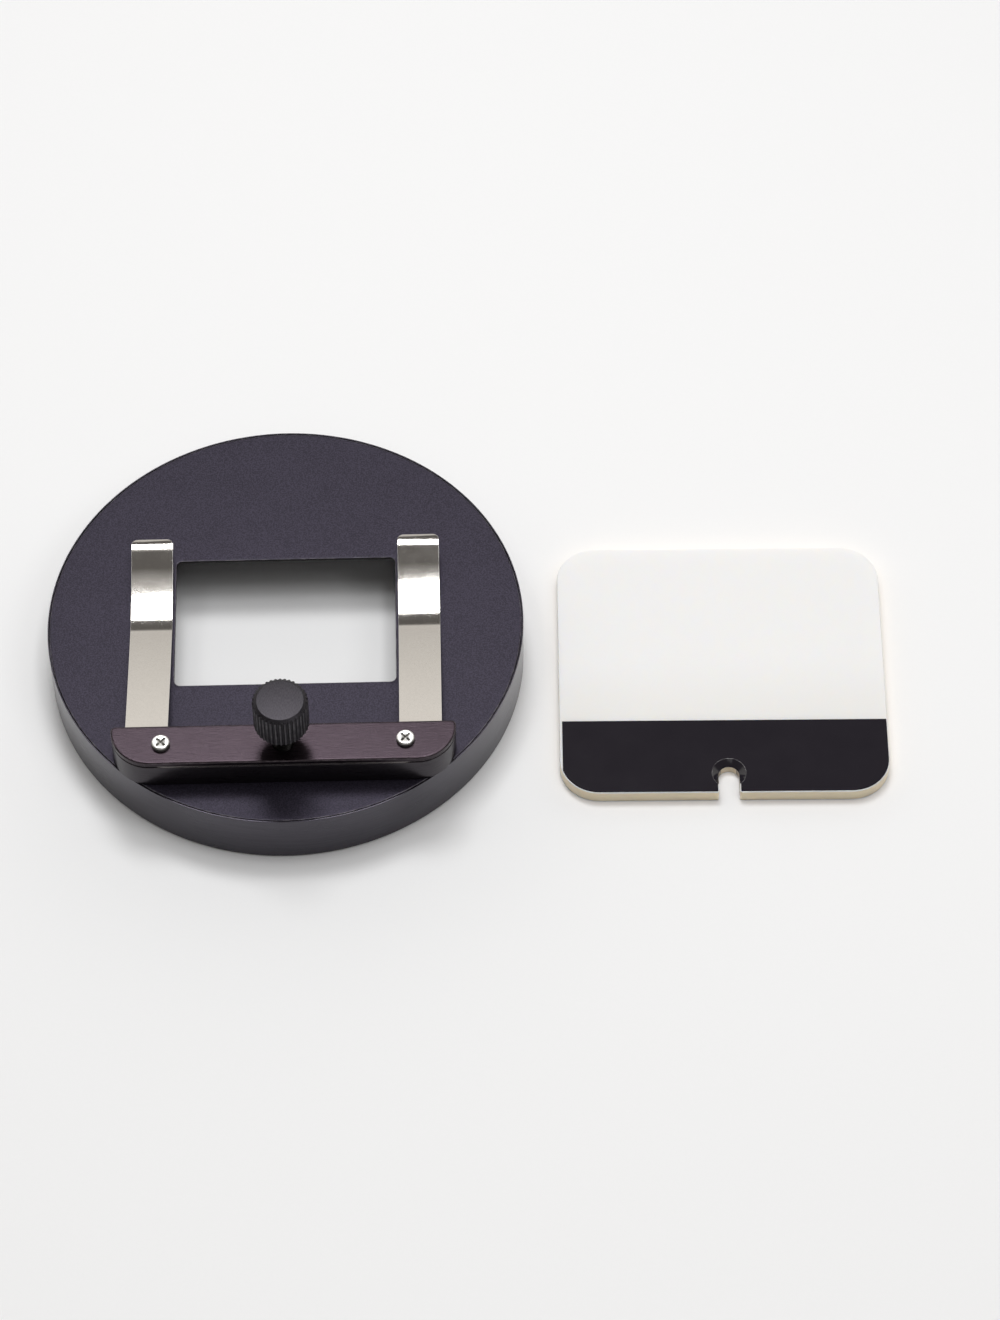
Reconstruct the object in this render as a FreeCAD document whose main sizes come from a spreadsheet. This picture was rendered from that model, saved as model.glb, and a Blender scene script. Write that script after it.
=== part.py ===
import FreeCAD, Part
import os
import re
import Sketcher
from FreeCAD import Vector

# Slide duplicator: a round cap that goes over the end of a lens tube.  The cap's flat face has a
# window for one film slide.  A bar on the face stops the slide, two spring legs press it down, and
# a thumbscrew on the bar clamps an opal diffuser in front of it.
# All sizes are in millimetres.  Z points out of the face and Y from the bar towards the window.
# The origin is the centre of the cap's open end.

SIZES = [
    # cap ring
    ("ring_outer_diameter", 80.0),
    ("ring_height", 10.5),
    ("ring_edge_break", 0.3),
    ("wall_thickness", 3.0),
    ("bore_depth", 8.3),
    ("flange_width", 0.7),
    ("lip_width", 0.35),
    ("lip_gap", 0.35),
    # face plate
    ("plate_thickness", 1.2),
    ("plate_edge_break", 0.12),
    ("window_width", 37.0),
    ("window_length", 25.5),
    ("window_corner", 1.0),
    ("slide_size", 50.0),
    ("stop_offset", 24.8),
    # bar: block, spring strip and cover
    ("bar_width", 56.6),
    ("bar_depth", 7.4),
    ("bar_front_corner", 6.5),
    ("bar_rear_corner", 0.8),
    ("block_height", 5.0),
    ("cover_thickness", 1.0),
    ("cover_edge_round", 0.25),
    # spring
    ("spring_thickness", 0.3),
    ("spring_setback", 0.05),
    ("leg_spacing", 45.0),
    ("leg_width", 7.0),
    ("leg_rest_gap", 0.3),
    ("contact_reach", 24.1),
    ("sole_reach", 6.6),
    ("sole_rise", 0.4),
    ("ramp_reach", 8.0),
    ("ramp_rise", 2.6),
    ("curl_reach", 1.3),
    ("curl_drop", 0.2),
    ("contact_bend", 2.5),
    ("ramp_bend", 35.0),
    ("curl_bend", 4.5),
    ("leg_tip_corner", 1.1),
    # bar screws, driven from above
    ("screw_spacing", 40.0),
    ("screw_diameter", 2.0),
    ("screw_length", 5.2),
    ("screw_head_diameter", 3.0),
    ("screw_head_height", 0.9),
    ("screw_head_round", 0.5),
    ("recess_span", 1.7),
    ("recess_width", 0.42),
    ("recess_depth", 0.65),
    ("recess_turn", 45.0),
    # block screws, driven from inside the cap
    ("block_screw_spacing", 24.0),
    ("block_screw_length", 4.6),
    ("block_screw_head", 3.6),
    ("block_screw_cone", 0.8),
    # clearances
    ("screw_clearance", 0.15),
    ("thread_clearance", 0.02),
    ("stud_clearance", 0.2),
    ("end_clearance", 0.3),
    # thumbscrew
    ("stud_diameter", 3.0),
    ("stud_engagement", 3.5),
    ("stud_tip_break", 0.4),
    ("socket_depth", 4.0),
    ("knob_diameter", 9.1),
    ("knob_height", 6.6),
    ("knob_raise", 5.6),
    ("knob_top_flat", 7.7),
    ("knob_top_drop", 0.45),
    ("knob_foot_break", 0.3),
    ("knob_groove_count", 36),
    ("knob_groove_depth", 0.3),
    ("cone_top_diameter", 5.4),
    ("cone_foot_diameter", 3.7),
    ("cone_height", 0.75),
    # opal diffuser
    ("panel_width", 55.0),
    ("panel_length", 50.0),
    ("panel_thickness", 2.5),
    ("panel_corner", 6.5),
    ("panel_edge_break", 0.15),
    ("slot_width", 3.5),
    ("slot_inset", 3.85),
    ("slot_offset", 0.6),
    ("slot_sink_diameter", 5.7),
    ("panel_place_right", 73.3),
    ("panel_place_back", -5.8),
    ("panel_place_turn", -0.89),
]

doc = FreeCAD.newDocument("slide_duplicator")
sheet = doc.addObject("Spreadsheet::Sheet", "Sizes")
for row, (alias, size) in enumerate(SIZES, start=1):
    sheet.set("A%d" % row, alias)
    sheet.set("B%d" % row, str(size))
    sheet.setAlias("B%d" % row, alias)
doc.recompute()

# Formulas that several pieces share.
RING_RADIUS = "(ring_outer_diameter / 2)"
RECESS_RADIUS = "(ring_outer_diameter / 2 - lip_width)"
PLATE_RADIUS = "(ring_outer_diameter / 2 - lip_width - lip_gap)"
PLATE_FOOT = "(ring_height - plate_thickness)"
WINDOW_MIDDLE = "(slide_size / 2 - stop_offset)"
BAR_MIDDLE = "(-stop_offset - bar_depth / 2)"
BAR_FRONT = "(-stop_offset - bar_depth)"
BLOCK_TOP = "(ring_height + block_height)"
SPRING_TOP = "(ring_height + block_height + spring_thickness)"
COVER_TOP = "(ring_height + block_height + spring_thickness + cover_thickness)"
STUD_HOLE = "(stud_diameter / 2 + stud_clearance)"
SCREW_HOLE = "(screw_diameter / 2 + screw_clearance)"
SCREW_THREAD = "(screw_diameter / 2 + thread_clearance)"


def value(formula):
    """Present number behind a formula."""
    result = sheet.evalExpression(formula)
    return float(getattr(result, "Value", result))


def bound(formula):
    """The same formula as objects outside the sheet write it."""
    return re.sub(r"\b([a-z]+_[a-z_]+)\b", r"Sizes.\1", formula)


def new_body(label):
    body = doc.addObject("PartDesign::Body", label)
    body.Label = label
    return body


def plane(body, role):
    """One of the body's own origin planes."""
    return next(item for item in body.Origin.OriginFeatures if item.Role == role)


def new_sketch(body, name, role, level="0", across="0", along="0"):
    """Sketch on an origin plane, moved to a level off it and to a place within it."""
    sketch = body.newObject("Sketcher::SketchObject", name)
    sketch.AttachmentSupport = [(plane(body, role), "")]
    sketch.MapMode = "FlatFace"
    for axis, formula in (("x", across), ("y", along), ("z", level)):
        if formula != "0":
            sketch.setExpression("AttachmentOffset.Base." + axis, bound(formula))
    return sketch


def hold(sketch, constraint, name, formula):
    """Adds a constraint whose size is a formula."""
    index = sketch.addConstraint(constraint)
    sketch.renameConstraint(index, name)
    sketch.setExpression("Constraints." + name, bound(formula))


def pin(sketch, geometry, point, x, y):
    """Holds one point of a sketch at two formulas."""
    for kind, formula, axis in (("DistanceX", x, -2), ("DistanceY", y, -1)):
        size = value(formula)
        name = "%s_%d_%d" % (kind, geometry, point)
        if size == 0:
            sketch.addConstraint(Sketcher.Constraint("PointOnObject", geometry, point, axis))
        elif size > 0:
            hold(sketch, Sketcher.Constraint(kind, -1, 1, geometry, point, size), name, formula)
        else:
            flipped = Sketcher.Constraint(kind, geometry, point, -1, 1, -size)
            hold(sketch, flipped, name, "-(%s)" % formula)


def outline(sketch, corners):
    """Closed chain of straight lines with its corners at formulas."""
    points = [Vector(value(x), value(y), 0) for x, y in corners]
    first = sketch.GeometryCount
    count = len(points)
    for index in range(count):
        sketch.addGeometry(Part.LineSegment(points[index], points[(index + 1) % count]), False)
    for index in range(count):
        follower = first + (index + 1) % count
        sketch.addConstraint(Sketcher.Constraint("Coincident", first + index, 2, follower, 1))
    for index, (x, y) in enumerate(corners):
        pin(sketch, first + index, 1, x, y)


def box_outline(sketch, half_width, front, back):
    """Rectangle that is symmetric about the sketch's vertical axis."""
    left = "-(%s)" % half_width
    outline(sketch, [(left, front), (half_width, front), (half_width, back), (left, back)])


def circle(sketch, radius, x="0", y="0"):
    geometry = sketch.addGeometry(Part.Circle(Vector(value(x), value(y), 0), Vector(0, 0, 1), value(radius)), False)
    pin(sketch, geometry, 3, x, y)
    hold(sketch, Sketcher.Constraint("Radius", geometry, value(radius)), "Radius_%d" % geometry, radius)


def pad(body, sketch, length):
    feature = body.newObject("PartDesign::Pad", sketch.Name + "_pad")
    feature.Profile = sketch
    feature.setExpression("Length", bound(length))
    sketch.Visibility = False
    doc.recompute()
    return feature


def cut(body, sketch, depth=None, upwards=False):
    """Pocket through everything, or to a depth; downwards unless told otherwise."""
    before = body.Shape.Volume
    feature = body.newObject("PartDesign::Pocket", sketch.Name + "_cut")
    feature.Profile = sketch
    feature.Reversed = upwards
    if depth is None:
        feature.Type = "ThroughAll"
        feature.Midplane = True
    else:
        feature.setExpression("Length", bound(depth))
    sketch.Visibility = False
    doc.recompute()
    if not body.Shape.Volume < before - 1e-6:
        raise ValueError(feature.Name + " removes nothing")
    return feature


def turned(body, sketch, kind="PartDesign::Revolution"):
    """Full turn of a profile about the sketch's vertical axis."""
    feature = body.newObject(kind, sketch.Name + "_turn")
    feature.Profile = sketch
    feature.ReferenceAxis = (sketch, ["V_Axis"])
    feature.Angle = 360
    sketch.Visibility = False
    doc.recompute()
    return feature


def edges_where(feature, test):
    """Names of a feature's edges that pass a test."""
    return ["Edge%d" % (index + 1) for index, edge in enumerate(feature.Shape.Edges) if test(edge)]


def upright_at(edge, places):
    """True for a vertical edge that stands at one of the given points."""
    if len(edge.Vertexes) != 2:
        return False
    low, high = edge.Vertexes[0].Point, edge.Vertexes[1].Point
    if abs(low.x - high.x) > 1e-6 or abs(low.y - high.y) > 1e-6:
        return False
    return any(abs(low.x - x) < 1e-4 and abs(low.y - y) < 1e-4 for x, y in places)


def soften(body, kind, name, names, size_property, formula):
    """Fillet or chamfer on named edges of the body's tip."""
    if not names:
        raise ValueError(name + " found no edges")
    base = body.Tip
    feature = body.newObject(kind, name)
    feature.Base = (base, names)
    feature.setExpression(size_property, bound(formula))
    doc.recompute()
    return feature


def round_uprights(body, name, places, radius):
    names = edges_where(body.Tip, lambda edge: upright_at(edge, places))
    return soften(body, "PartDesign::Fillet", name, names, "Radius", radius)


def place(item, x="0", y="0", z="0"):
    """Puts a piece where it belongs in the assembly."""
    for axis, formula in (("x", x), ("y", y), ("z", z)):
        if formula != "0":
            item.setExpression(".Placement.Base." + axis, bound(formula))


def round_bar(body, half_width, front, name):
    """Rounds a bar-shaped plate: wide arcs at the front, small ones at the rear."""
    x = value(half_width)
    front_places = [(x, value(front)), (-x, value(front))]
    rear_places = [(x, value("-stop_offset")), (-x, value("-stop_offset"))]
    round_uprights(body, name + "_front", front_places, "bar_front_corner")
    round_uprights(body, name + "_rear", rear_places, "bar_rear_corner")


def rim_ring():
    """Turned ring.  It slips over the tube up to a flange, and carries the face plate in a recess."""
    body = new_body("rim_ring")
    profile = new_sketch(body, "ring_profile", "XZ_Plane")
    bore = "(ring_outer_diameter / 2 - wall_thickness)"
    flange = "(ring_outer_diameter / 2 - wall_thickness - flange_width)"
    outline(profile, [
        (bore, "0"),
        (RING_RADIUS + " - ring_edge_break", "0"),
        (RING_RADIUS, "ring_edge_break"),
        (RING_RADIUS, "ring_height"),
        (RECESS_RADIUS, "ring_height"),
        (RECESS_RADIUS, PLATE_FOOT),
        (flange, PLATE_FOOT),
        (flange, "bore_depth"),
        (bore, "bore_depth"),
    ])
    turned(body, profile)
    return body


def face_plate():
    """Thin round plate with the slide's window, in the ring's recess."""
    body = new_body("face_plate")
    disc = new_sketch(body, "plate_disc", "XY_Plane")
    circle(disc, PLATE_RADIUS)
    pad(body, disc, "plate_thickness")
    top = value("plate_thickness")
    rim = edges_where(body.Tip, lambda edge: abs(edge.BoundBox.ZMin - top) < 1e-6)
    soften(body, "PartDesign::Chamfer", "plate_edge", rim, "Size", "plate_edge_break")

    window = new_sketch(body, "plate_window", "XY_Plane")
    low = WINDOW_MIDDLE + " - window_length / 2"
    high = WINDOW_MIDDLE + " + window_length / 2"
    box_outline(window, "window_width / 2", low, high)
    cut(body, window)
    side = value("window_width / 2")
    corners = [(x, value(y)) for x in (-side, side) for y in (low, high)]
    round_uprights(body, "window_corners", corners, "window_corner")

    stud_hole = new_sketch(body, "plate_stud_hole", "XY_Plane")
    circle(stud_hole, STUD_HOLE, "0", BAR_MIDDLE)
    cut(body, stud_hole)
    for name, sign in (("left", "-"), ("right", "")):
        sink = new_sketch(body, "plate_sink_" + name, "XZ_Plane", "-(%s)" % BAR_MIDDLE,
                          sign + "block_screw_spacing / 2")
        outline(sink, [
            ("0", "0"),
            ("block_screw_head / 2 + screw_clearance", "0"),
            (SCREW_HOLE, "block_screw_cone"),
            (SCREW_HOLE, "plate_thickness"),
            ("0", "plate_thickness"),
        ])
        turned(body, sink, "PartDesign::Groove")
    place(body, z=PLATE_FOOT)
    return body


def spacer_block():
    """Block under the bar.  Its rear face stops the slide, and its middle thread takes the stud."""
    body = new_body("spacer_block")
    half = "bar_width / 2"
    base = new_sketch(body, "block_outline", "XY_Plane")
    box_outline(base, half, BAR_FRONT, "-stop_offset")
    pad(body, base, "block_height")
    round_bar(body, half, BAR_FRONT, "block")

    thread = new_sketch(body, "block_stud_thread", "XY_Plane")
    circle(thread, "stud_diameter / 2", "0", BAR_MIDDLE)
    cut(body, thread)
    upper = new_sketch(body, "block_screw_threads", "XY_Plane", "block_height")
    lower = new_sketch(body, "block_foot_threads", "XY_Plane")
    for sign in ("-", ""):
        circle(upper, SCREW_THREAD, sign + "screw_spacing / 2", BAR_MIDDLE)
        circle(lower, SCREW_THREAD, sign + "block_screw_spacing / 2", BAR_MIDDLE)
    cut(body, upper, "screw_length - cover_thickness - spring_thickness + end_clearance")
    cut(body, lower, "block_screw_length - plate_thickness + end_clearance", upwards=True)
    place(body, z="ring_height")
    return body


def spring_strip():
    """Clamped part of the spring stamping.  The two legs go on from its rear edge."""
    body = new_body("spring_strip")
    half = "(leg_spacing + leg_width) / 2"
    front = BAR_FRONT + " + spring_setback"
    base = new_sketch(body, "strip_outline", "XY_Plane")
    box_outline(base, half, front, "-stop_offset")
    pad(body, base, "spring_thickness")
    x = value(half)
    front_places = [(x, value(front)), (-x, value(front))]
    round_uprights(body, "strip_front", front_places, "bar_front_corner")
    holes = new_sketch(body, "strip_holes", "XY_Plane")
    circle(holes, STUD_HOLE, "0", BAR_MIDDLE)
    for sign in ("-", ""):
        circle(holes, SCREW_HOLE, sign + "screw_spacing / 2", BAR_MIDDLE)
    cut(body, holes)
    place(body, z=BLOCK_TOP)
    return body


def spring_leg_left():
    """One leg: down to the contact bend, up a hollow ramp that lets a slide in, and over at the tip."""
    body = new_body("spring_leg_left")
    drop = "(block_height - leg_rest_gap)"
    side = new_sketch(body, "leg_side", "YZ_Plane")
    foot = [
        ("0", "0"),
        ("contact_reach", "-" + drop),
        ("(contact_reach + sole_reach)", "(sole_rise - %s)" % drop),
        ("(contact_reach + sole_reach + ramp_reach)", "(sole_rise + ramp_rise - %s)" % drop),
        ("(contact_reach + sole_reach + ramp_reach + curl_reach)",
         "(sole_rise + ramp_rise - curl_drop - %s)" % drop),
    ]
    # The upper line runs one strip thickness above the lower one, measured square to each stretch.
    stretches = [
        ("contact_reach", drop, -1),
        ("sole_reach", "sole_rise", 1),
        ("ramp_reach", "ramp_rise", 1),
        ("curl_reach", "curl_drop", -1),
    ]
    angles = ["atan(%s / %s) * %d" % (rise, reach, sign) for reach, rise, sign in stretches]

    def mitre(index, before, after):
        """Corner of the upper line over a bend of the lower line."""
        y, z = foot[index]
        mean = "((%s + %s) / 2)" % (before, after)
        half_turn = "((%s - %s) / 2)" % (after, before)
        size = "spring_thickness / cos(%s)" % half_turn
        return ("%s - %s * sin(%s)" % (y, size, mean), "%s + %s * cos(%s)" % (z, size, mean))

    tip_reach, tip_level = foot[-1]
    tip = (tip_reach + " - spring_thickness * sin(%s)" % angles[-1],
           tip_level + " + spring_thickness * cos(%s)" % angles[-1])
    mitres = [mitre(index, angles[index - 1], angles[index]) for index in (1, 2, 3)]
    outline(side, foot + [tip] + mitres[::-1] + [("0", "spring_thickness")])
    feature = pad(body, side, "leg_width")
    feature.Midplane = True
    doc.recompute()

    def along_x(places):
        def test(edge):
            box = edge.BoundBox
            flat = box.YLength < 1e-6 and box.ZLength < 1e-6
            return flat and any(abs(box.YMin - y) < 1e-4 and abs(box.ZMin - z) < 1e-4 for y, z in places)
        return test

    for bend, lower, upper in zip(("contact_bend", "ramp_bend", "curl_bend"), foot[1:], mitres):
        places = [(value(y), value(z)) for y, z in (lower, upper)]
        soften(body, "PartDesign::Fillet", "leg_" + bend, edges_where(body.Tip, along_x(places)),
               "Radius", bend)

    reach = value(tip_reach)
    half = value("leg_width / 2")

    def tip_edge(edge):
        box = edge.BoundBox
        return box.XLength < 1e-6 and box.YMin > reach - 1e-4 and abs(abs(box.XMin) - half) < 1e-6
    soften(body, "PartDesign::Fillet", "leg_tip_corners", edges_where(body.Tip, tip_edge),
           "Radius", "leg_tip_corner")
    place(body, x="-leg_spacing / 2", y="-stop_offset", z=BLOCK_TOP)
    return body


def mirrored(source, label):
    """The same piece on the other side of the middle plane."""
    item = doc.addObject("Part::Mirroring", label)
    item.Label = label
    item.Source = source
    item.Normal = Vector(1, 0, 0)
    item.Base = Vector(0, 0, 0)
    doc.recompute()
    return item


def group(label, items):
    """Several equal fasteners as one node of separate solids."""
    item = doc.addObject("Part::Compound", label)
    item.Label = label
    item.Links = items
    doc.recompute()
    return item


def cover_plate():
    """Cover that clamps the spring strip down on the block."""
    body = new_body("cover_plate")
    half = "bar_width / 2"
    base = new_sketch(body, "cover_outline", "XY_Plane")
    box_outline(base, half, BAR_FRONT, "-stop_offset")
    pad(body, base, "cover_thickness")
    round_bar(body, half, BAR_FRONT, "cover")
    top = value("cover_thickness")
    rim = edges_where(body.Tip, lambda edge: abs(edge.BoundBox.ZMin - top) < 1e-6)
    soften(body, "PartDesign::Fillet", "cover_edge", rim, "Radius", "cover_edge_round")
    holes = new_sketch(body, "cover_holes", "XY_Plane")
    circle(holes, STUD_HOLE, "0", BAR_MIDDLE)
    for sign in ("-", ""):
        circle(holes, SCREW_HOLE, sign + "screw_spacing / 2", BAR_MIDDLE)
    cut(body, holes)
    place(body, z=SPRING_TOP)
    return body


def cross_recess(body, name, level, upwards=False):
    """Cross for the driver, cut from the head's end face."""
    for arm, (width, span) in (("long", ("recess_width", "recess_span")), ("wide", ("recess_span", "recess_width"))):
        slot = new_sketch(body, "%s_%s" % (name, arm), "XY_Plane", level)
        box_outline(slot, width + " / 2", "-%s / 2" % span, span + " / 2")
        cut(body, slot, "recess_depth", upwards)


def bar_screws():
    """Two pan-head screws through the cover and the spring into the block."""
    body = new_body("bar_screw_right")
    profile = new_sketch(body, "bar_screw_profile", "XZ_Plane")
    outline(profile, [
        ("0", "-screw_length"),
        ("screw_diameter / 2", "-screw_length"),
        ("screw_diameter / 2", "0"),
        ("screw_head_diameter / 2", "0"),
        ("screw_head_diameter / 2", "screw_head_height"),
        ("0", "screw_head_height"),
    ])
    turned(body, profile)
    top = value("screw_head_height")
    rim = edges_where(body.Tip, lambda edge: abs(edge.BoundBox.ZMin - top) < 1e-6)
    soften(body, "PartDesign::Fillet", "bar_screw_round", rim, "Radius", "screw_head_round")
    cross_recess(body, "bar_screw_cross", "screw_head_height")
    place(body, x="screw_spacing / 2", y=BAR_MIDDLE, z=COVER_TOP)
    body.setExpression(".Placement.Rotation.Angle", bound("recess_turn * 1 deg"))
    doc.recompute()
    return group("bar_screws", [body, mirrored(body, "bar_screw_left")])


def block_screws():
    """Two countersunk screws from inside the cap through the face plate into the block."""
    body = new_body("block_screw_right")
    profile = new_sketch(body, "block_screw_profile", "XZ_Plane")
    outline(profile, [
        ("0", "0"),
        ("block_screw_head / 2", "0"),
        ("screw_diameter / 2", "block_screw_cone"),
        ("screw_diameter / 2", "block_screw_length"),
        ("0", "block_screw_length"),
    ])
    turned(body, profile)
    cross_recess(body, "block_screw_cross", "0", upwards=True)
    place(body, x="block_screw_spacing / 2", y=BAR_MIDDLE, z=PLATE_FOOT)
    return group("block_screws", [body, mirrored(body, "block_screw_left")])


def thumb_stud():
    """Threaded stud of the thumbscrew, from the block up into the knob."""
    body = new_body("thumb_stud")
    radius = "(stud_diameter / 2 - thread_clearance)"
    low = "(-stud_engagement)"
    high = "(spring_thickness + cover_thickness + knob_raise + socket_depth)"
    profile = new_sketch(body, "stud_profile", "XZ_Plane")
    outline(profile, [
        ("0", low),
        (radius + " - stud_tip_break", low),
        (radius, low + " + stud_tip_break"),
        (radius, high),
        ("0", high),
    ])
    turned(body, profile)
    place(body, y=BAR_MIDDLE, z=BLOCK_TOP)
    return body


def thumb_knob():
    """Knob with straight grooves round it and a cone below that centres the diffuser's slot."""
    body = new_body("thumb_knob")
    radius = "(knob_diameter / 2)"
    socket = "(stud_diameter / 2)"
    profile = new_sketch(body, "knob_profile", "XZ_Plane")
    outline(profile, [
        (socket, "-cone_height"),
        ("cone_foot_diameter / 2", "-cone_height"),
        ("cone_top_diameter / 2", "0"),
        (radius + " - knob_foot_break", "0"),
        (radius, "knob_foot_break"),
        (radius, "knob_height - knob_top_drop"),
        ("knob_top_flat / 2", "knob_height"),
        ("0", "knob_height"),
        ("0", "socket_depth"),
        (socket, "socket_depth"),
    ])
    turned(body, profile)
    groove = new_sketch(body, "knob_groove", "XY_Plane", "knob_height")
    half = "(knob_groove_depth * 0.85)"
    inner = radius + " - knob_groove_depth"
    outer = radius + " + knob_groove_depth"
    outline(groove, [
        ("-%s * 0.25" % half, inner),
        ("%s * 0.25" % half, inner),
        ("%s * 1.75" % half, outer),
        ("-%s * 1.75" % half, outer),
    ])
    single = cut(body, groove, "knob_height")
    pattern = body.newObject("PartDesign::PolarPattern", "knob_grooves")
    pattern.Originals = [single]
    pattern.Axis = (groove, ["N_Axis"])
    pattern.Angle = 360
    pattern.setExpression("Occurrences", bound("knob_groove_count"))
    body.Tip = pattern
    doc.recompute()
    place(body, y=BAR_MIDDLE, z=COVER_TOP + " + knob_raise")
    return body


def diffuser_panel():
    """Loose opal panel with a countersunk slot for the thumbscrew; it lies beside the cap."""
    body = new_body("diffuser_panel")
    half = "panel_width / 2"
    back = "panel_length / 2"
    front = "(-panel_length / 2)"
    base = new_sketch(body, "panel_outline", "XY_Plane")
    box_outline(base, half, front, back)
    pad(body, base, "panel_thickness")
    x, y = value(half), value(back)
    round_uprights(body, "panel_corners", [(x, y), (x, -y), (-x, y), (-x, -y)], "panel_corner")
    top = value("panel_thickness")
    rims = edges_where(body.Tip, lambda edge: edge.BoundBox.ZLength < 1e-6)
    soften(body, "PartDesign::Chamfer", "panel_edges", rims, "Size", "panel_edge_break")

    slot = new_sketch(body, "slot_mouth", "XY_Plane", across="slot_offset")
    box_outline(slot, "slot_width / 2", front + " - slot_width", front + " + slot_inset")
    cut(body, slot)
    end = new_sketch(body, "slot_end", "XY_Plane")
    circle(end, "slot_width / 2", "slot_offset", front + " + slot_inset")
    cut(body, end)
    sink = new_sketch(body, "slot_sink", "XZ_Plane", "-(%s + slot_inset)" % front, "slot_offset")
    depth = "((slot_sink_diameter - cone_foot_diameter) / (cone_top_diameter - cone_foot_diameter) * cone_height)"
    outline(sink, [
        ("0", "panel_thickness"),
        ("slot_sink_diameter / 2", "panel_thickness"),
        ("cone_foot_diameter / 2", "panel_thickness - " + depth),
        ("0", "panel_thickness - " + depth),
    ])
    turned(body, sink, "PartDesign::Groove")
    place(body, x="panel_place_right", y="panel_place_back")
    body.setExpression(".Placement.Rotation.Angle", bound("panel_place_turn * 1 deg"))
    doc.recompute()
    return body


leg = spring_leg_left()
pieces = [
    rim_ring(),
    face_plate(),
    spacer_block(),
    spring_strip(),
    leg,
    mirrored(leg, "spring_leg_right"),
    cover_plate(),
    bar_screws(),
    block_screws(),
    thumb_stud(),
    thumb_knob(),
    diffuser_panel(),
]
doc.recompute()

os.makedirs("parts", exist_ok=True)
for item in doc.Objects:
    if "Invalid" in item.State or "Error" in item.State:
        raise ValueError(item.Label + " is in error")
for piece in pieces:
    if piece.Shape.isNull() or not piece.Shape.isValid():
        raise ValueError(piece.Label + " has no valid shape")
    piece.Shape.exportStep("parts/%s.step" % piece.Label)
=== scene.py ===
from math import atan2, copysign, cos, hypot, pi, radians, sin, tan

import bmesh
import bpy
from mathutils import Matrix, Vector


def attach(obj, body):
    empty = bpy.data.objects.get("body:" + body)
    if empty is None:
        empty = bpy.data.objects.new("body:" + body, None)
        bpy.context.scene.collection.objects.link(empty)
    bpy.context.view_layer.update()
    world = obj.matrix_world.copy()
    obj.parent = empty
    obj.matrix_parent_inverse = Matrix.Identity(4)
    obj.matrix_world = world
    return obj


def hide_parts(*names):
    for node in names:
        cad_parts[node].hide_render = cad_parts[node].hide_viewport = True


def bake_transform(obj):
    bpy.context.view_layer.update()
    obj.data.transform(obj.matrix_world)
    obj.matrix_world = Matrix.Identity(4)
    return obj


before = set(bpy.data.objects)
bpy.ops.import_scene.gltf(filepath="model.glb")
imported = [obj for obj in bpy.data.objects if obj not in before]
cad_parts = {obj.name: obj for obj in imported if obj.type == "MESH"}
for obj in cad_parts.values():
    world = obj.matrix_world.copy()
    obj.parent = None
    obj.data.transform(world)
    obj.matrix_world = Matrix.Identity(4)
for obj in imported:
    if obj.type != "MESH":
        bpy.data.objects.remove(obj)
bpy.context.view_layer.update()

# ---- Camera ------------------------------------------------------------------
# A 123 mm lens on a 36 mm frame stands three quarters of a metre off, in front of the bar. It looks
# down at the table between the cap and the diffuser.
MM = 0.001
VIEW_MIDDLE = Vector((35.99, -1.45, 0.0)) * MM
VIEW_DISTANCE = 765.11 * MM
VIEW_DOWN = 55.325
VIEW_TURN = -0.908
VIEW_ROLL = -0.447
PICTURE_HEIGHT = 1320
FOCAL_PIXELS = 4500.0
FRAME_SIDE = 36.0

lens = bpy.data.cameras.new("camera")
lens.lens = FRAME_SIDE * FOCAL_PIXELS / PICTURE_HEIGHT
lens.sensor_width = FRAME_SIDE
lens.clip_start = 0.01
lens.clip_end = 50.0
camera = bpy.data.objects.new("camera", lens)
camera.matrix_world = (
    Matrix.Translation(VIEW_MIDDLE)
    @ Matrix.Rotation(radians(VIEW_TURN), 4, "Z")
    @ Matrix.Rotation(radians(90.0 - VIEW_DOWN), 4, "X")
    @ Matrix.Rotation(radians(VIEW_ROLL), 4, "Z")
    @ Matrix.Translation((0.0, 0.0, VIEW_DISTANCE))
)
bpy.context.scene.collection.objects.link(camera)
bpy.context.scene.camera = camera
bpy.context.scene.view_settings.view_transform = "Standard"


# ---- Table -------------------------------------------------------------------
# The cap and the diffuser lie on plain white paper. Far from them the paper runs out into an even
# white, so that no horizon shows from the sides.
class Wire:
    """One value or colour on its way between two nodes. Arithmetic with it adds Math nodes."""

    def __init__(self, finish, socket):
        self.finish = finish
        self.socket = socket

    def math(self, operation, first, second):
        return self.finish.node("ShaderNodeMath", {"operation": operation}, {0: first, 1: second})

    def __add__(self, other):
        return self.math("ADD", self, other)

    def __sub__(self, other):
        return self.math("SUBTRACT", self, other)

    def __rsub__(self, other):
        return self.math("SUBTRACT", other, self)

    def __mul__(self, other):
        return self.math("MULTIPLY", self, other)

    __radd__ = __add__
    __rmul__ = __mul__


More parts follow.
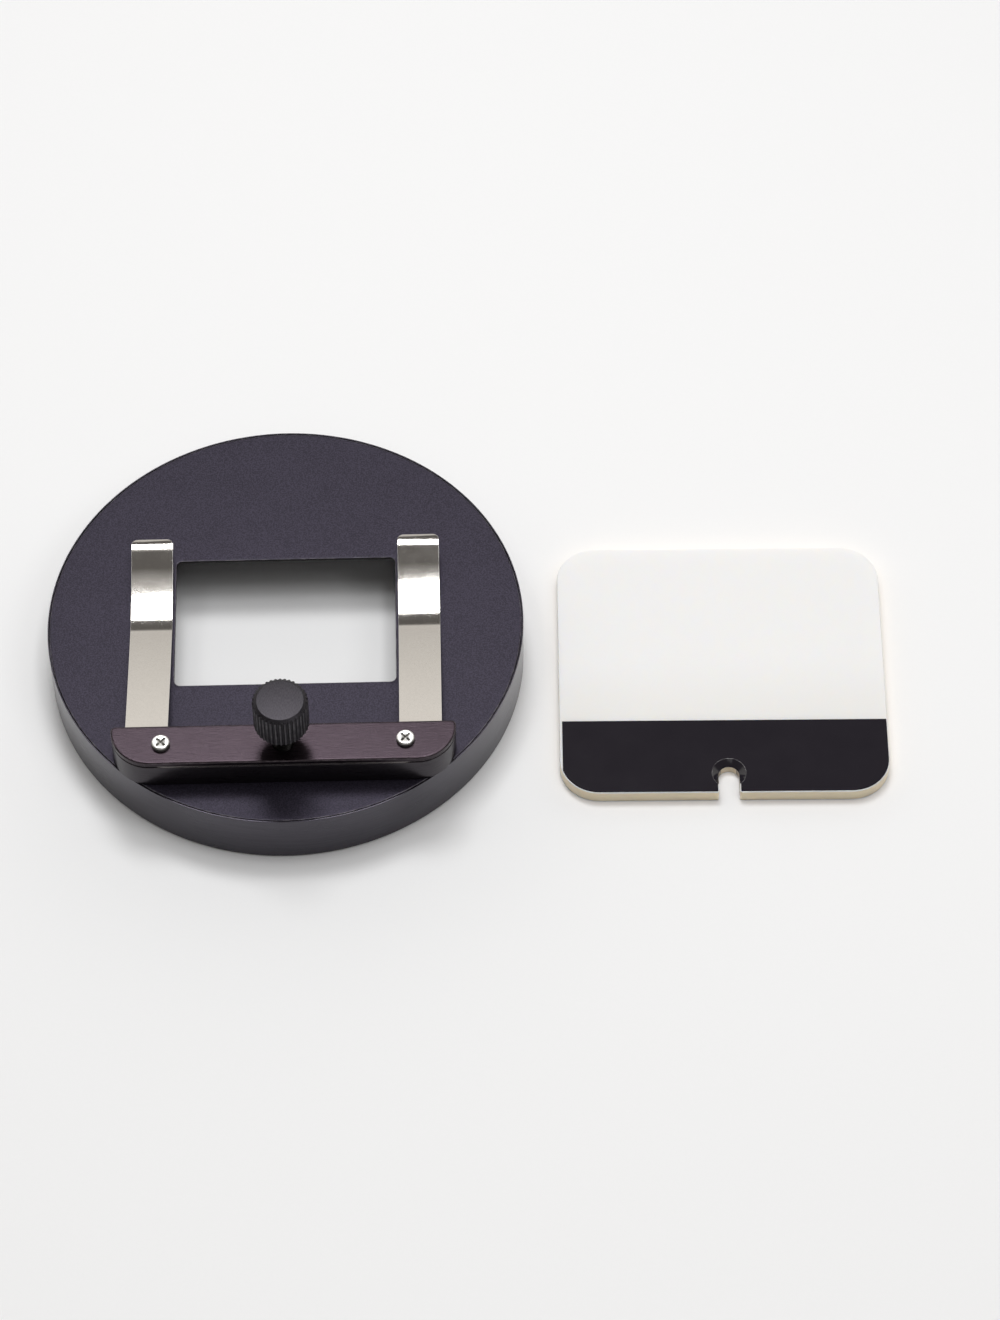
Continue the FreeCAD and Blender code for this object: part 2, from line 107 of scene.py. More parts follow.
class Finish:
    """Nodes of one material, or of the studio's surroundings."""

    def __init__(self, owner):
        owner.use_nodes = True
        self.owner = owner
        self.tree = owner.node_tree
        self.shader = self.tree.nodes.get("Principled BSDF")

    def node(self, kind, settings=None, sockets=None, output=0):
        """Adds one node: its settings first, then the values or links of its sockets."""
        made = self.tree.nodes.new(kind)
        for name, setting in (settings or {}).items():
            setattr(made, name, setting)
        self.fill(made, sockets or {})
        return Wire(self, made.outputs[output])

    def fill(self, made, sockets):
        for name, value in sockets.items():
            if isinstance(value, Wire):
                self.tree.links.new(value.socket, made.inputs[name])
            else:
                made.inputs[name].default_value = value

    def surface(self, **sockets):
        """Feeds the shader; a socket's name is written with _ for its blanks."""
        self.fill(self.shader, {name.replace("_", " "): value for name, value in sockets.items()})

    def marked(self, mark):
        """1 on the faces that carry a mark, and 0 on the others."""
        return self.node("ShaderNodeAttribute", {"attribute_name": mark}, output="Fac")

    def part(self, vector, axis):
        """One of a vector's three parts."""
        return self.node("ShaderNodeSeparateXYZ", {}, {0: vector}, output=axis)

    def length(self, vector):
        return self.node("ShaderNodeVectorMath", {"operation": "LENGTH"}, {0: vector}, output="Value")

    def place(self, across=1.0, along=1.0, up=1.0):
        """Object coordinates. A pattern on them is drawn out along an axis whose factor is small."""
        spot = self.node("ShaderNodeTexCoord", output="Object")
        factors = (across, along, up)
        return self.node("ShaderNodeVectorMath", {"operation": "MULTIPLY"}, {0: spot, 1: factors})

    def noise(self, place, size, detail):
        """Cloudy pattern whose patches are about one size, in millimetres."""
        sockets = {"Vector": place, "Scale": 1.0 / (size * MM), "Detail": detail}
        return self.node("ShaderNodeTexNoise", {}, sockets)

    def step(self, value, start, end, low=0.0, high=1.0):
        """Soft step from low to high while a value goes from start to end."""
        sockets = {"Value": value, 1: start, 2: end, 3: low, 4: high}
        return self.node("ShaderNodeMapRange", {"interpolation_type": "SMOOTHSTEP"}, sockets)

    def mix(self, share, first, second):
        """Colour between two colours."""
        sockets = {0: share, 6: first, 7: second}
        return self.node("ShaderNodeMix", {"data_type": "RGBA"}, sockets, output=2)

    def relief(self, height, depth):
        """Bumps as deep as given, in millimetres, where the height goes from 0 to 1."""
        return self.node("ShaderNodeBump", {}, {"Height": height, "Distance": depth * MM, "Strength": 1.0})


TABLE_SIDE = 8000.0 * MM
PAPER_FIBRE = 0.6
PAPER_RELIEF = 0.006
PAPER_DARK = (0.875, 0.881, 0.889, 1.0)
PAPER_LIGHT = (0.889, 0.895, 0.903, 1.0)
EVEN_WHITE = (0.886, 0.892, 0.899, 1.0)
EVEN_FROM, EVEN_TO = 250.0 * MM, 900.0 * MM

paper = Finish(bpy.data.materials.new("table_paper"))
distance = paper.length(paper.node("ShaderNodeTexCoord", output="Object"))
seen = paper.node("ShaderNodeLightPath", output="Is Camera Ray")
mirrored = paper.node("ShaderNodeLightPath", output="Is Glossy Ray")
far = paper.step(distance, EVEN_FROM, EVEN_TO) * (seen + mirrored)
fibres = paper.noise(paper.place(), size=PAPER_FIBRE, detail=4.0)
paper.surface(
    Base_Color=paper.mix(fibres, PAPER_DARK, PAPER_LIGHT),
    Roughness=0.75,
    Specular_IOR_Level=0.2,
    Normal=paper.relief(fibres, PAPER_RELIEF),
)
lit_paper = Wire(paper, paper.shader.outputs[0])
even_white = paper.node("ShaderNodeEmission", {}, {"Color": EVEN_WHITE, "Strength": 1.0})
both = paper.node("ShaderNodeMixShader", {}, {0: far, 1: lit_paper, 2: even_white})
paper.fill(paper.tree.nodes["Material Output"], {"Surface": both})

table_mesh = bpy.data.meshes.new("table")
sheet = bmesh.new()
bmesh.ops.create_grid(sheet, x_segments=1, y_segments=1, size=TABLE_SIDE / 2)
sheet.to_mesh(table_mesh)
sheet.free()
table_mesh.materials.append(paper.owner)
table = bpy.data.objects.new("table", table_mesh)
bpy.context.scene.collection.objects.link(table)


# ---- Lamps -------------------------------------------------------------------
# The main softbox hangs over the table, behind the cap, and lights the ceiling round itself. Weaker
# ones stand beside it and in front, and the one straight above leaves no glint in polished metal.
# Behind the table the room is pale low down; the rest of it is dark.
SOFTBOXES = [
    # name, place in mm, turn in degrees, width and depth in mm, power in watts, seen in polished metal
    ("softbox_behind", (-20.0, 318.0, 780.0), -31.0, (280.0, 205.0), 2.4, True),
    ("softbox_right", (430.0, -200.0, 700.0), 0.0, (260.0, 320.0), 0.57, True),
    ("softbox_over_right", (190.0, 40.0, 830.0), 0.0, (120.0, 560.0), 1.33, True),
    ("softbox_over_left", (-290.0, 40.0, 800.0), 0.0, (120.0, 560.0), 0.58, True),
    ("softbox_above", (0.0, 20.0, 850.0), 0.0, (200.0, 150.0), 0.71, False),
    ("softbox_front", (30.0, -480.0, 600.0), 0.0, (300.0, 200.0), 0.15, True),
]
LAMPS_AIM = Vector((30.0, 0.0, 0.0))
ROOM_PALE = (0.945, 0.913, 0.87, 1.0)
ROOM_MIDDLE = (0.572, 0.55, 0.5225, 1.0)
ROOM_DARK = (0.113, 0.106, 0.100, 1.0)
CEILING_GLOW = (0.55, 0.5335, 0.517, 1.0)
ROOM_SEEN = (0.88, 0.88, 0.88, 1.0)
# Where the room's tones fade into each other, as the height or the rearward part of a direction.
PALE_FADE = (0.5, 0.64)
WALL_TOP_FADE = (0.65, 0.60)
WALL_SIDE_FADE = (-0.05, 0.2)
GLOW_FRONT_FADE = (-0.02, 0.28)
GLOW_REAR_FADE = (0.5, 0.44)
GLOW_FOOT_FADE = (0.69, 0.8)

for name, stand, turn, (width, depth), power, glints in SOFTBOXES:
    lamp = bpy.data.lights.new(name, "AREA")
    lamp.shape = "RECTANGLE"
    lamp.size = width * MM
    lamp.size_y = depth * MM
    lamp.energy = power
    softbox = bpy.data.objects.new(name, lamp)
    facing = (Vector(stand) - LAMPS_AIM).normalized()
    across = Vector((0.0, 1.0, 0.0)).cross(facing).normalized()
    square = Matrix((across, facing.cross(across), facing)).transposed().to_4x4()
    turned_square = square @ Matrix.Rotation(radians(turn), 4, "Z")
    softbox.matrix_world = Matrix.Translation(Vector(stand) * MM) @ turned_square
    softbox.visible_camera = False
    softbox.visible_glossy = glints
    bpy.context.scene.collection.objects.link(softbox)

room = Finish(bpy.data.worlds.new("room"))
bpy.context.scene.world = room.owner
heading = room.node("ShaderNodeTexCoord", output="Generated")
height = room.part(heading, "Z")
rearward = room.part(heading, "Y")
low_walls = room.mix(room.step(height, *PALE_FADE), ROOM_PALE, ROOM_MIDDLE)
behind = room.step(rearward, *WALL_SIDE_FADE) * room.step(height, *WALL_TOP_FADE)
glow_depth = room.step(rearward, *GLOW_FRONT_FADE) * room.step(rearward, *GLOW_REAR_FADE)
glow = glow_depth * room.step(height, *GLOW_FOOT_FADE)
walls = room.mix(behind, room.mix(glow, ROOM_DARK, CEILING_GLOW), low_walls)
camera_sees = room.node("ShaderNodeLightPath", output="Is Camera Ray")
room.fill(room.tree.nodes["Background"], {"Color": room.mix(camera_sees, walls, ROOM_SEEN)})


# ---- Cap wall ----------------------------------------------------------------
# One aluminium ring, turned all over and anodised satin black. Its bore slips over the lens tube up
# to a narrow flange, and a recess in its top carries the face plate.
RING_RADIUS = 40.0
RING_HEIGHT = 10.5
BORE_RADIUS = 37.0
BORE_DEPTH = 8.3
FLANGE_RADIUS = 36.3
LIP_RADIUS = 39.8
PLATE_THICKNESS = 1.2
PLATE_FOOT = RING_HEIGHT - PLATE_THICKNESS
RING_STEPS = 240
RING_FOOT_BREAK = 0.3
RING_EASE = 0.05
BORE_EASE = 0.15
FLANGE_EASE = 0.1
LIP_EASE = 0.04
LIP_RUB = 0.05
EASE_STEPS = 4
WELD = 0.0005
# The upward part of a face's normal is 0 where the face is upright and 1 where it is level.
NEARLY_UPRIGHT, NEARLY_LEVEL = 0.15, 0.985
# Near black painted on faces in shade, as painted shade.
PAINTED_SHADE_BLACK = (0.004, 0.0035, 0.005, 1.0)


def turned(outline, steps, closed=True):
    """Full turn about Z of an outline of points, each with a radius, a height and its corner's ease."""
    bm = bmesh.new()
    corners = [bm.verts.new((radius, 0.0, height)) for radius, height, ease in outline]
    for pair in zip(corners, corners[1:]):
        bm.edges.new(pair)
    if closed:
        bm.edges.new((corners[-1], corners[0]))
    for corner, (radius, height, ease) in zip(corners, outline):
        if ease:
            bmesh.ops.bevel(bm, geom=[corner], offset=ease, segments=EASE_STEPS, profile=0.5,
                            affect="VERTICES", material=-1)
    bmesh.ops.spin(bm, geom=bm.verts[:] + bm.edges[:], cent=(0.0, 0.0, 0.0), axis=(0.0, 0.0, 1.0),
                   angle=2.0 * pi, steps=steps, use_merge=True)
    bmesh.ops.remove_doubles(bm, verts=bm.verts, dist=WELD)
    bmesh.ops.recalc_face_normals(bm, faces=bm.faces)
    return bm


def sloping(face):
    """Whether a face is one of the narrow slopes along a piece's edges, where its finish wears first."""
    return NEARLY_UPRIGHT < abs(face.normal.z) < NEARLY_LEVEL


def mark(bm, name, test):
    """Marks the faces that pass a test, so that their finish can tell them from the others."""
    layer = bm.faces.layers.float.new(name)
    bm.normal_update()
    for face in bm.faces:
        face[layer] = float(test(face))


def piece_from(bm, name, finish, crease=35.0):
    """Brings a mesh from millimetres to metres and makes it an object, smooth with clean edges."""
    bmesh.ops.scale(bm, vec=(MM, MM, MM), verts=bm.verts)
    for face in bm.faces:
        face.smooth = True
    mesh = bpy.data.meshes.new(name)
    bm.to_mesh(mesh)
    bm.free()
    mesh.set_sharp_from_angle(angle=radians(crease))
    mesh.materials.append(finish.owner)
    piece = bpy.data.objects.new(name, mesh)
    bpy.context.scene.collection.objects.link(piece)
    even = piece.modifiers.new("even_shading", "WEIGHTED_NORMAL")
    even.keep_sharp = True
    return piece


def black_anodised(name, dark, light, worn, roughness, lines, grain, relief_depth, metal=0.85, sealed=0.0):
    """Dyed oxide over bare aluminium: clouds of colour, the tool's lines or blasted grain, rubbed edges.

    The faces marked as a painted shade edge are painted near black, as painted shade where little light
    reaches.
    """
    finish = Finish(bpy.data.materials.new(name))
    clouds = finish.noise(finish.place(), size=9.0, detail=3.0)
    marks = finish.noise(finish.place(*lines), size=grain, detail=2.0)
    tone = finish.step(clouds * 0.15 + marks * 0.85, 0.36, 0.64)
    edge = finish.marked("worn_edge")
    rubs = finish.step(finish.noise(finish.place(), size=1.1, detail=4.0), 0.42, 0.68)
    rubbed = finish.mix(edge * (0.25 + 0.5 * rubs), finish.mix(tone, dark, light), worn)
    # Faces marked for painted shade get near black in place of the anodised colour.
    finish.surface(
        Base_Color=finish.mix(finish.marked("painted_shade_edge"), rubbed, PAINTED_SHADE_BLACK),
        Metallic=metal,
        Roughness=roughness + 0.08 * (clouds - 0.5) + 0.12 * (marks - 0.5) - 0.06 * edge,
        Normal=finish.relief(marks, relief_depth),
        Specular_IOR_Level=0.3,
        Coat_Weight=sealed * (1.0 - edge) if sealed else 0.0,
        Coat_Roughness=0.24,
    )
    return finish


ring_black = black_anodised(
    "ring_black",
    dark=(0.036, 0.0315, 0.045, 1.0),
    light=(0.047, 0.0415, 0.0565, 1.0),
    worn=(0.045, 0.041, 0.048, 1.0),
    roughness=0.30,
    lines=(0.02, 0.02, 1.0),
    grain=0.12,
    relief_depth=0.0015,
    sealed=0.38,
)
ring_mesh = turned([
    (BORE_RADIUS, 0.0, BORE_EASE),
    (RING_RADIUS - RING_FOOT_BREAK, 0.0, RING_EASE),
    (RING_RADIUS, RING_FOOT_BREAK, RING_EASE),
    (RING_RADIUS, RING_HEIGHT, LIP_EASE),
    (LIP_RADIUS, RING_HEIGHT, LIP_EASE),
    (LIP_RADIUS, PLATE_FOOT, 0.0),
    (FLANGE_RADIUS, PLATE_FOOT, RING_EASE),
    (FLANGE_RADIUS, BORE_DEPTH, FLANGE_EASE),
    (BORE_RADIUS, BORE_DEPTH, 0.0),
], RING_STEPS)


def rubbed_lip(face):
    """Whether a face of the ring slopes, or lies on the lip's narrow top."""
    return sloping(face) or face.calc_center_median().z > RING_HEIGHT - LIP_RUB


mark(ring_mesh, "worn_edge", rubbed_lip)
cap_wall = piece_from(ring_mesh, "cap_wall", ring_black)
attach(cap_wall, "cap")
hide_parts("rim_ring")


# ---- Face plate --------------------------------------------------------------
# A thin disc of aluminium with the slide's window punched out. It is bonded in the ring's recess,
# fine blasted and anodised, which gives it a slightly purple black.
PLATE_RADIUS = 39.68
PLATE_EDGE_BREAK = 0.12
WINDOW_HALF_WIDTH = 18.5
WINDOW_FRONT, WINDOW_REAR = -12.55, 12.95
WINDOW_CORNER = 1.0
WINDOW_LAND = 0.45
WINDOW_UNDERCUT = 0.8
BAR_MIDDLE = -28.5
STUD_HOLE = 1.7
SCREW_HOLE = 1.15
BLOCK_SCREW_PLACES = (-12.0, 12.0)
SINK_RADIUS = 1.95
SINK_DEPTH = 0.8
PLATE_COLLAR = 0.35
WINDOW_COLLAR = 1.2
PLATE_FOOT_EASE = 0.06
CORNER_STEPS = 12
HOLE_STEPS = 48
MOSTLY_LEVEL = 0.9
WINDOW_WALL_TILTS = (-0.95, 0.8)
# Two places count as the same when they are this near each other.
EXACT = 0.001
ROUGHLY = 0.02


def blank(bm, half_width, front, rear, front_corner, rear_corner):
    """Flat four-sided outline, filled, with its front and its rear corners rounded."""
    before = set(bm.faces)
    corners = bmesh.ops.create_grid(bm, x_segments=1, y_segments=1, size=0.5)["verts"]
    pairs = [[v for v in corners if v.co.y < 0.0], [v for v in corners if v.co.y > 0.0]]
    for pair, side in zip(pairs, (front, rear)):
        for corner in pair:
            corner.co = (copysign(half_width, corner.co.x), side, 0.0)
    for pair, radius in zip(pairs, (front_corner, rear_corner)):
        if radius:
            bmesh.ops.bevel(bm, geom=pair, offset=radius, segments=CORNER_STEPS, profile=0.5,
                            affect="VERTICES", material=-1)
    return (set(bm.faces) - before).pop()


def disc(bm, radius, x, y, steps):
    """Flat filled circle."""
    before = set(bm.faces)
    rim = bmesh.ops.create_circle(bm, cap_ends=True, radius=radius, segments=steps)["verts"]
    bmesh.ops.translate(bm, vec=(x, y, 0.0), verts=rim)
    return (set(bm.faces) - before).pop()


def collar(bm, face, width):
    """Opens a filled outline inside a ring of even faces; returns the edges outside and inside the ring."""
    ring = bmesh.ops.inset_individual(bm, faces=[face], thickness=width, use_even_offset=True)["faces"]
    outside = [edge for part in ring for edge in part.edges if len(edge.link_faces) == 1]
    inside = list(face.edges)
    bmesh.ops.delete(bm, geom=[face], context="FACES_ONLY")
    return outside, inside


def thicken(bm, thickness):
    """Raises a flat sheet to a plate."""
    raised = bmesh.ops.extrude_face_region(bm, geom=bm.faces[:])["geom"]
    top = [item for item in raised if isinstance(item, bmesh.types.BMVert)]
    bmesh.ops.translate(bm, vec=(0.0, 0.0, thickness), verts=top)
    bmesh.ops.recalc_face_normals(bm, faces=bm.faces)


def punched(bm, outline, holes, width, thickness, first_width=None):
    """Plate from its outline and its holes, which are drawn one collar too wide.

    The first hole can have a collar of another width.
    """
    between = collar(bm, outline, width)[1]
    for index, hole in enumerate(holes):
        between += collar(bm, hole, first_width if first_width and index == 0 else width)[0]
    bmesh.ops.triangle_fill(bm, use_beauty=True, edges=between, normal=(0.0, 0.0, 1.0))
    thicken(bm, thickness)


def from_axis(point, x, y):
    """Distance of a point from an upright axis."""
    return hypot(point.x - x, point.y - y)


def split_walls(bm, on_wall, level):
    """Cuts a hole's walls at one level. A test tells the walls' corners from the others."""
    walls = [v for v in bm.verts if on_wall(v)]
    walls += [edge for edge in bm.edges if all(on_wall(v) for v in edge.verts)]
    walls += [face for face in bm.faces if all(on_wall(v) for v in face.verts)]
    bmesh.ops.bisect_plane(bm, geom=walls, plane_co=(0.0, 0.0, level), plane_no=(0.0, 0.0, 1.0))


def ease_rims(bm, level, radius, segments=3, test=lambda place: True):
    """Rounds the edges that run round the flat faces at one level, where their corners pass a test."""
    bm.normal_update()
    rims = [
        edge for edge in bm.edges
        if all(abs(v.co.z - level) < EXACT and test(v.co) for v in edge.verts)
        and any(abs(face.normal.z) < MOSTLY_LEVEL for face in edge.link_faces)
    ]
    bmesh.ops.bevel(bm, geom=rims, offset=radius, segments=segments, profile=0.5,
                    affect="EDGES", material=-1)


window_middle = (WINDOW_FRONT + WINDOW_REAR) / 2.0
window_half_length = (WINDOW_REAR - WINDOW_FRONT) / 2.0


def sink_at(x):
    """The test that tells the corners on the wall of one block screw's hole."""
    return lambda v: abs(from_axis(v.co, x, BAR_MIDDLE) - SINK_RADIUS) < EXACT


def on_window(v):
    """Whether a corner of the plate lies on the window's outline."""
    off_side = abs(v.co.x) - WINDOW_HALF_WIDTH
    off_end = abs(v.co.y - window_middle) - window_half_length
    return max(off_side, off_end) < ROUGHLY


def window_wall(face):
    """Whether a face belongs to the window's walls or their lower edge, which are painted near black as
    painted shade.
    """
    middle = face.calc_center_median()
    beside = max(abs(middle.x) - WINDOW_HALF_WIDTH, abs(middle.y - window_middle) - window_half_length)
    lowest, highest = WINDOW_WALL_TILTS
    return beside < WINDOW_UNDERCUT and lowest < face.normal.z < highest


plate_mesh = bmesh.new()
plate_disc = disc(plate_mesh, PLATE_RADIUS, 0.0, 0.0, RING_STEPS)
wide_corner = WINDOW_CORNER + WINDOW_COLLAR
window_hole = blank(plate_mesh, WINDOW_HALF_WIDTH + WINDOW_COLLAR, WINDOW_FRONT - WINDOW_COLLAR,
                    WINDOW_REAR + WINDOW_COLLAR, wide_corner, wide_corner)
plate_holes = [window_hole, disc(plate_mesh, STUD_HOLE + PLATE_COLLAR, 0.0, BAR_MIDDLE, HOLE_STEPS)]
for x in BLOCK_SCREW_PLACES:
    plate_holes.append(disc(plate_mesh, SINK_RADIUS + PLATE_COLLAR, x, BAR_MIDDLE, HOLE_STEPS))
punched(plate_mesh, plate_disc, plate_holes, PLATE_COLLAR, PLATE_THICKNESS, WINDOW_COLLAR)
for x in BLOCK_SCREW_PLACES:
    # The hole's wall is cut where its cone ends, and from there up it is drawn in round the screw.
    on_sink = sink_at(x)
    split_walls(plate_mesh, on_sink, SINK_DEPTH)
    for v in [v for v in plate_mesh.verts if v.co.z > SINK_DEPTH / 2.0 and on_sink(v)]:
        v.co.x = x + (v.co.x - x) * SCREW_HOLE / SINK_RADIUS
        v.co.y = BAR_MIDDLE + (v.co.y - BAR_MIDDLE) * SCREW_HOLE / SINK_RADIUS
# Below a narrow land the window's walls lean outward, so that they throw no glare on the picture.
split_walls(plate_mesh, on_window, PLATE_THICKNESS - WINDOW_LAND)
for v in [v for v in plate_mesh.verts if v.co.z < EXACT and on_window(v)]:
    v.co.x *= (WINDOW_HALF_WIDTH + WINDOW_UNDERCUT) / WINDOW_HALF_WIDTH
    v.co.y = window_middle + (v.co.y - window_middle) * (1.0 + WINDOW_UNDERCUT / window_half_length)
ease_rims(plate_mesh, PLATE_THICKNESS, PLATE_EDGE_BREAK)
ease_rims(plate_mesh, 0.0, PLATE_FOOT_EASE)
mark(plate_mesh, "worn_edge", sloping)
# The window's walls are marked for painted shade.
mark(plate_mesh, "painted_shade_edge", window_wall)
bmesh.ops.translate(plate_mesh, vec=(0.0, 0.0, PLATE_FOOT), verts=plate_mesh.verts)
plate_black = black_anodised(
    "plate_black",
    dark=(0.0168, 0.0141, 0.0234, 1.0),
    light=(0.0363, 0.0312, 0.0488, 1.0),
    worn=(0.22, 0.21, 0.23, 1.0),
    roughness=0.45,
    lines=(1.0, 1.0, 1.0),
    grain=0.22,
    relief_depth=0.022,
    metal=0.6,
)
window_plate = piece_from(plate_mesh, "window_plate", plate_black)
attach(window_plate, "cap")
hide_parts("face_plate")


# ---- Block -------------------------------------------------------------------
# The bar's lower part, a milled aluminium block anodised satin black. The slide stops against its
# straight rear face, and the thumbscrew's stud runs in the thread in its middle.
BAR_HALF_WIDTH = 28.3
BAR_FRONT, BAR_REAR = -32.2, -24.8
BAR_FRONT_CORNER, BAR_REAR_CORNER = 6.5, 0.8
BLOCK_HEIGHT = 5.0
BAR_SCREW_PLACES = (-20.0, 20.0)
SCREW_THREAD = 1.02
STUD_THREAD = 1.5
BAR_COLLAR = 0.25
BLOCK_EASE = 0.1
SMALL_HOLE_STEPS = 32

block_mesh = bmesh.new()
block_outline = blank(block_mesh, BAR_HALF_WIDTH, BAR_FRONT, BAR_REAR, BAR_FRONT_CORNER, BAR_REAR_CORNER)
block_holes = [disc(block_mesh, STUD_THREAD + BAR_COLLAR, 0.0, BAR_MIDDLE, HOLE_STEPS)]
for x in BAR_SCREW_PLACES + BLOCK_SCREW_PLACES:
    block_holes.append(disc(block_mesh, SCREW_THREAD + BAR_COLLAR, x, BAR_MIDDLE, SMALL_HOLE_STEPS))
punched(block_mesh, block_outline, block_holes, BAR_COLLAR, BLOCK_HEIGHT)
ease_rims(block_mesh, BLOCK_HEIGHT, BLOCK_EASE)
ease_rims(block_mesh, 0.0, BLOCK_EASE)
mark(block_mesh, "worn_edge", sloping)
bmesh.ops.translate(block_mesh, vec=(0.0, 0.0, RING_HEIGHT), verts=block_mesh.verts)
block_black = black_anodised(
    "block_black",
    dark=(0.040, 0.035, 0.041, 1.0),
    light=(0.050, 0.044, 0.051, 1.0),
    worn=(0.11, 0.10, 0.105, 1.0),
    roughness=0.30,
    lines=(0.05, 0.05, 1.0),
    grain=0.15,
    relief_depth=0.002,
)
stop_block = piece_from(block_mesh, "stop_block", block_black)
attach(stop_block, "cap")
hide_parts("spacer_block")


# ---- Spring ------------------------------------------------------------------
# One stamping of rolled spring steel, 0.3 mm thick. Its front strip is clamped between the block
# and the cover, and two legs run back from it, bent down to hold the slide and up to let it in.
SPRING_THICKNESS = 0.3
SPRING_FOOT = RING_HEIGHT + BLOCK_HEIGHT
STRIP_HALF_WIDTH = 26.0
STRIP_SETBACK = 0.05
STRIP_FRONT = BAR_FRONT + STRIP_SETBACK
LEG_SPACING = 45.0
LEG_WIDTH = 7.0
# A leg's underside seen from the side: its corners behind and above the root, and the radius and
# steps of each bend.
LEG_CORNERS = [(0.0, 0.0), (24.1, -4.7), (30.7, -4.3), (38.7, -1.7), (40.0, -1.9)]
LEG_BENDS = [(12.0, 16), (35.0, 28), (4.5, 16)]
LEG_TIP_CORNER = 1.1
LEG_BOW = 0.16
LEG_STATIONS = 28
SHEARED_EDGE = 0.05
STEEL_DARK = (0.69, 0.665, 0.63, 1.0)
STEEL_LIGHT = (0.71, 0.685, 0.65, 1.0)
STEEL_SHEARED = (0.86, 0.85, 0.83, 1.0)
# Colour given to the strip's edges and underside, much darker than its faces.
STEEL_EDGE_DARK = (0.17, 0.155, 0.15, 1.0)

steel = Finish(bpy.data.materials.new("spring_steel"))
rolled = steel.noise(steel.place(across=0.03), size=0.12, detail=3.0)
mottle = steel.noise(steel.place(), size=0.3, detail=4.0)
specks = steel.step(steel.noise(steel.place(along=0.8), size=0.11, detail=3.0), 0.46, 0.66)
patches = steel.step(steel.noise(steel.place(), size=3.0, detail=2.0), 0.35, 0.65)
# The faces marked as a dull edge are coloured much darker and rougher than the others.
scale = steel.marked("dull_edge")
flat = steel.mix(steel.step(mottle, 0.35, 0.65), STEEL_DARK, STEEL_LIGHT)
bright = steel.mix(steel.marked("worn_edge"), flat, STEEL_SHEARED)
steel.surface(
    Base_Color=steel.mix(scale, bright, STEEL_EDGE_DARK),
    Metallic=1.0,
    Roughness=0.07 + 0.2 * scale + 0.08 * specks + 0.02 * patches + 0.03 * (rolled - 0.5),
    Normal=steel.relief(mottle * 0.7 + rolled * 0.3, 0.0016),
)

strip_mesh = bmesh.new()
strip_outline = blank(strip_mesh, STRIP_HALF_WIDTH, STRIP_FRONT, BAR_REAR, BAR_FRONT_CORNER, 0.0)
strip_holes = [disc(strip_mesh, STUD_HOLE + BAR_COLLAR, 0.0, BAR_MIDDLE, HOLE_STEPS)]
for x in BAR_SCREW_PLACES:
    strip_holes.append(disc(strip_mesh, SCREW_HOLE + BAR_COLLAR, x, BAR_MIDDLE, SMALL_HOLE_STEPS))
punched(strip_mesh, strip_outline, strip_holes, BAR_COLLAR, SPRING_THICKNESS)
ease_rims(strip_mesh, SPRING_THICKNESS, SHEARED_EDGE)
mark(strip_mesh, "dull_edge", lambda face: face.normal.z < MOSTLY_LEVEL)
bmesh.ops.translate(strip_mesh, vec=(0.0, 0.0, SPRING_FOOT), verts=strip_mesh.verts)
clamped_strip = piece_from(strip_mesh, "clamped_strip", steel)
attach(clamped_strip, "cap")
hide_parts("spring_strip")


def bent_line():
    """Underside of a leg from the side: straight runs with their bends rounded, as points (y, z)."""
    line = bmesh.new()
    points = [line.verts.new((0.0, y, z)) for y, z in LEG_CORNERS]
    for pair in zip(points, points[1:]):
        line.edges.new(pair)
    for corner, (radius, steps) in zip(points[1:-1], LEG_BENDS):
        before, after = (edge.other_vert(corner).co - corner.co for edge in corner.link_edges)
        turn = pi - before.angle(after)
        bmesh.ops.bevel(line, geom=[corner], offset=radius * tan(turn / 2.0), segments=steps, profile=0.5,
                        affect="VERTICES", material=-1)
    ordered = sorted((v.co.y, v.co.z) for v in line.verts)
    line.free()
    return ordered


def leg_path():
    """The bent line with stations on its long straight run, which the slide's push bows a little."""
    bends = bent_line()
    end_y, end_z = bends[1]
    path = []
    for index in range(LEG_STATIONS):
        share = index / LEG_STATIONS
        # The bow is a parabola, deepest halfway.
        bow = LEG_BOW * 4.0 * share * (1.0 - share)
        path.append((end_y * share, end_z * share - bow))
    return path + bends[1:]


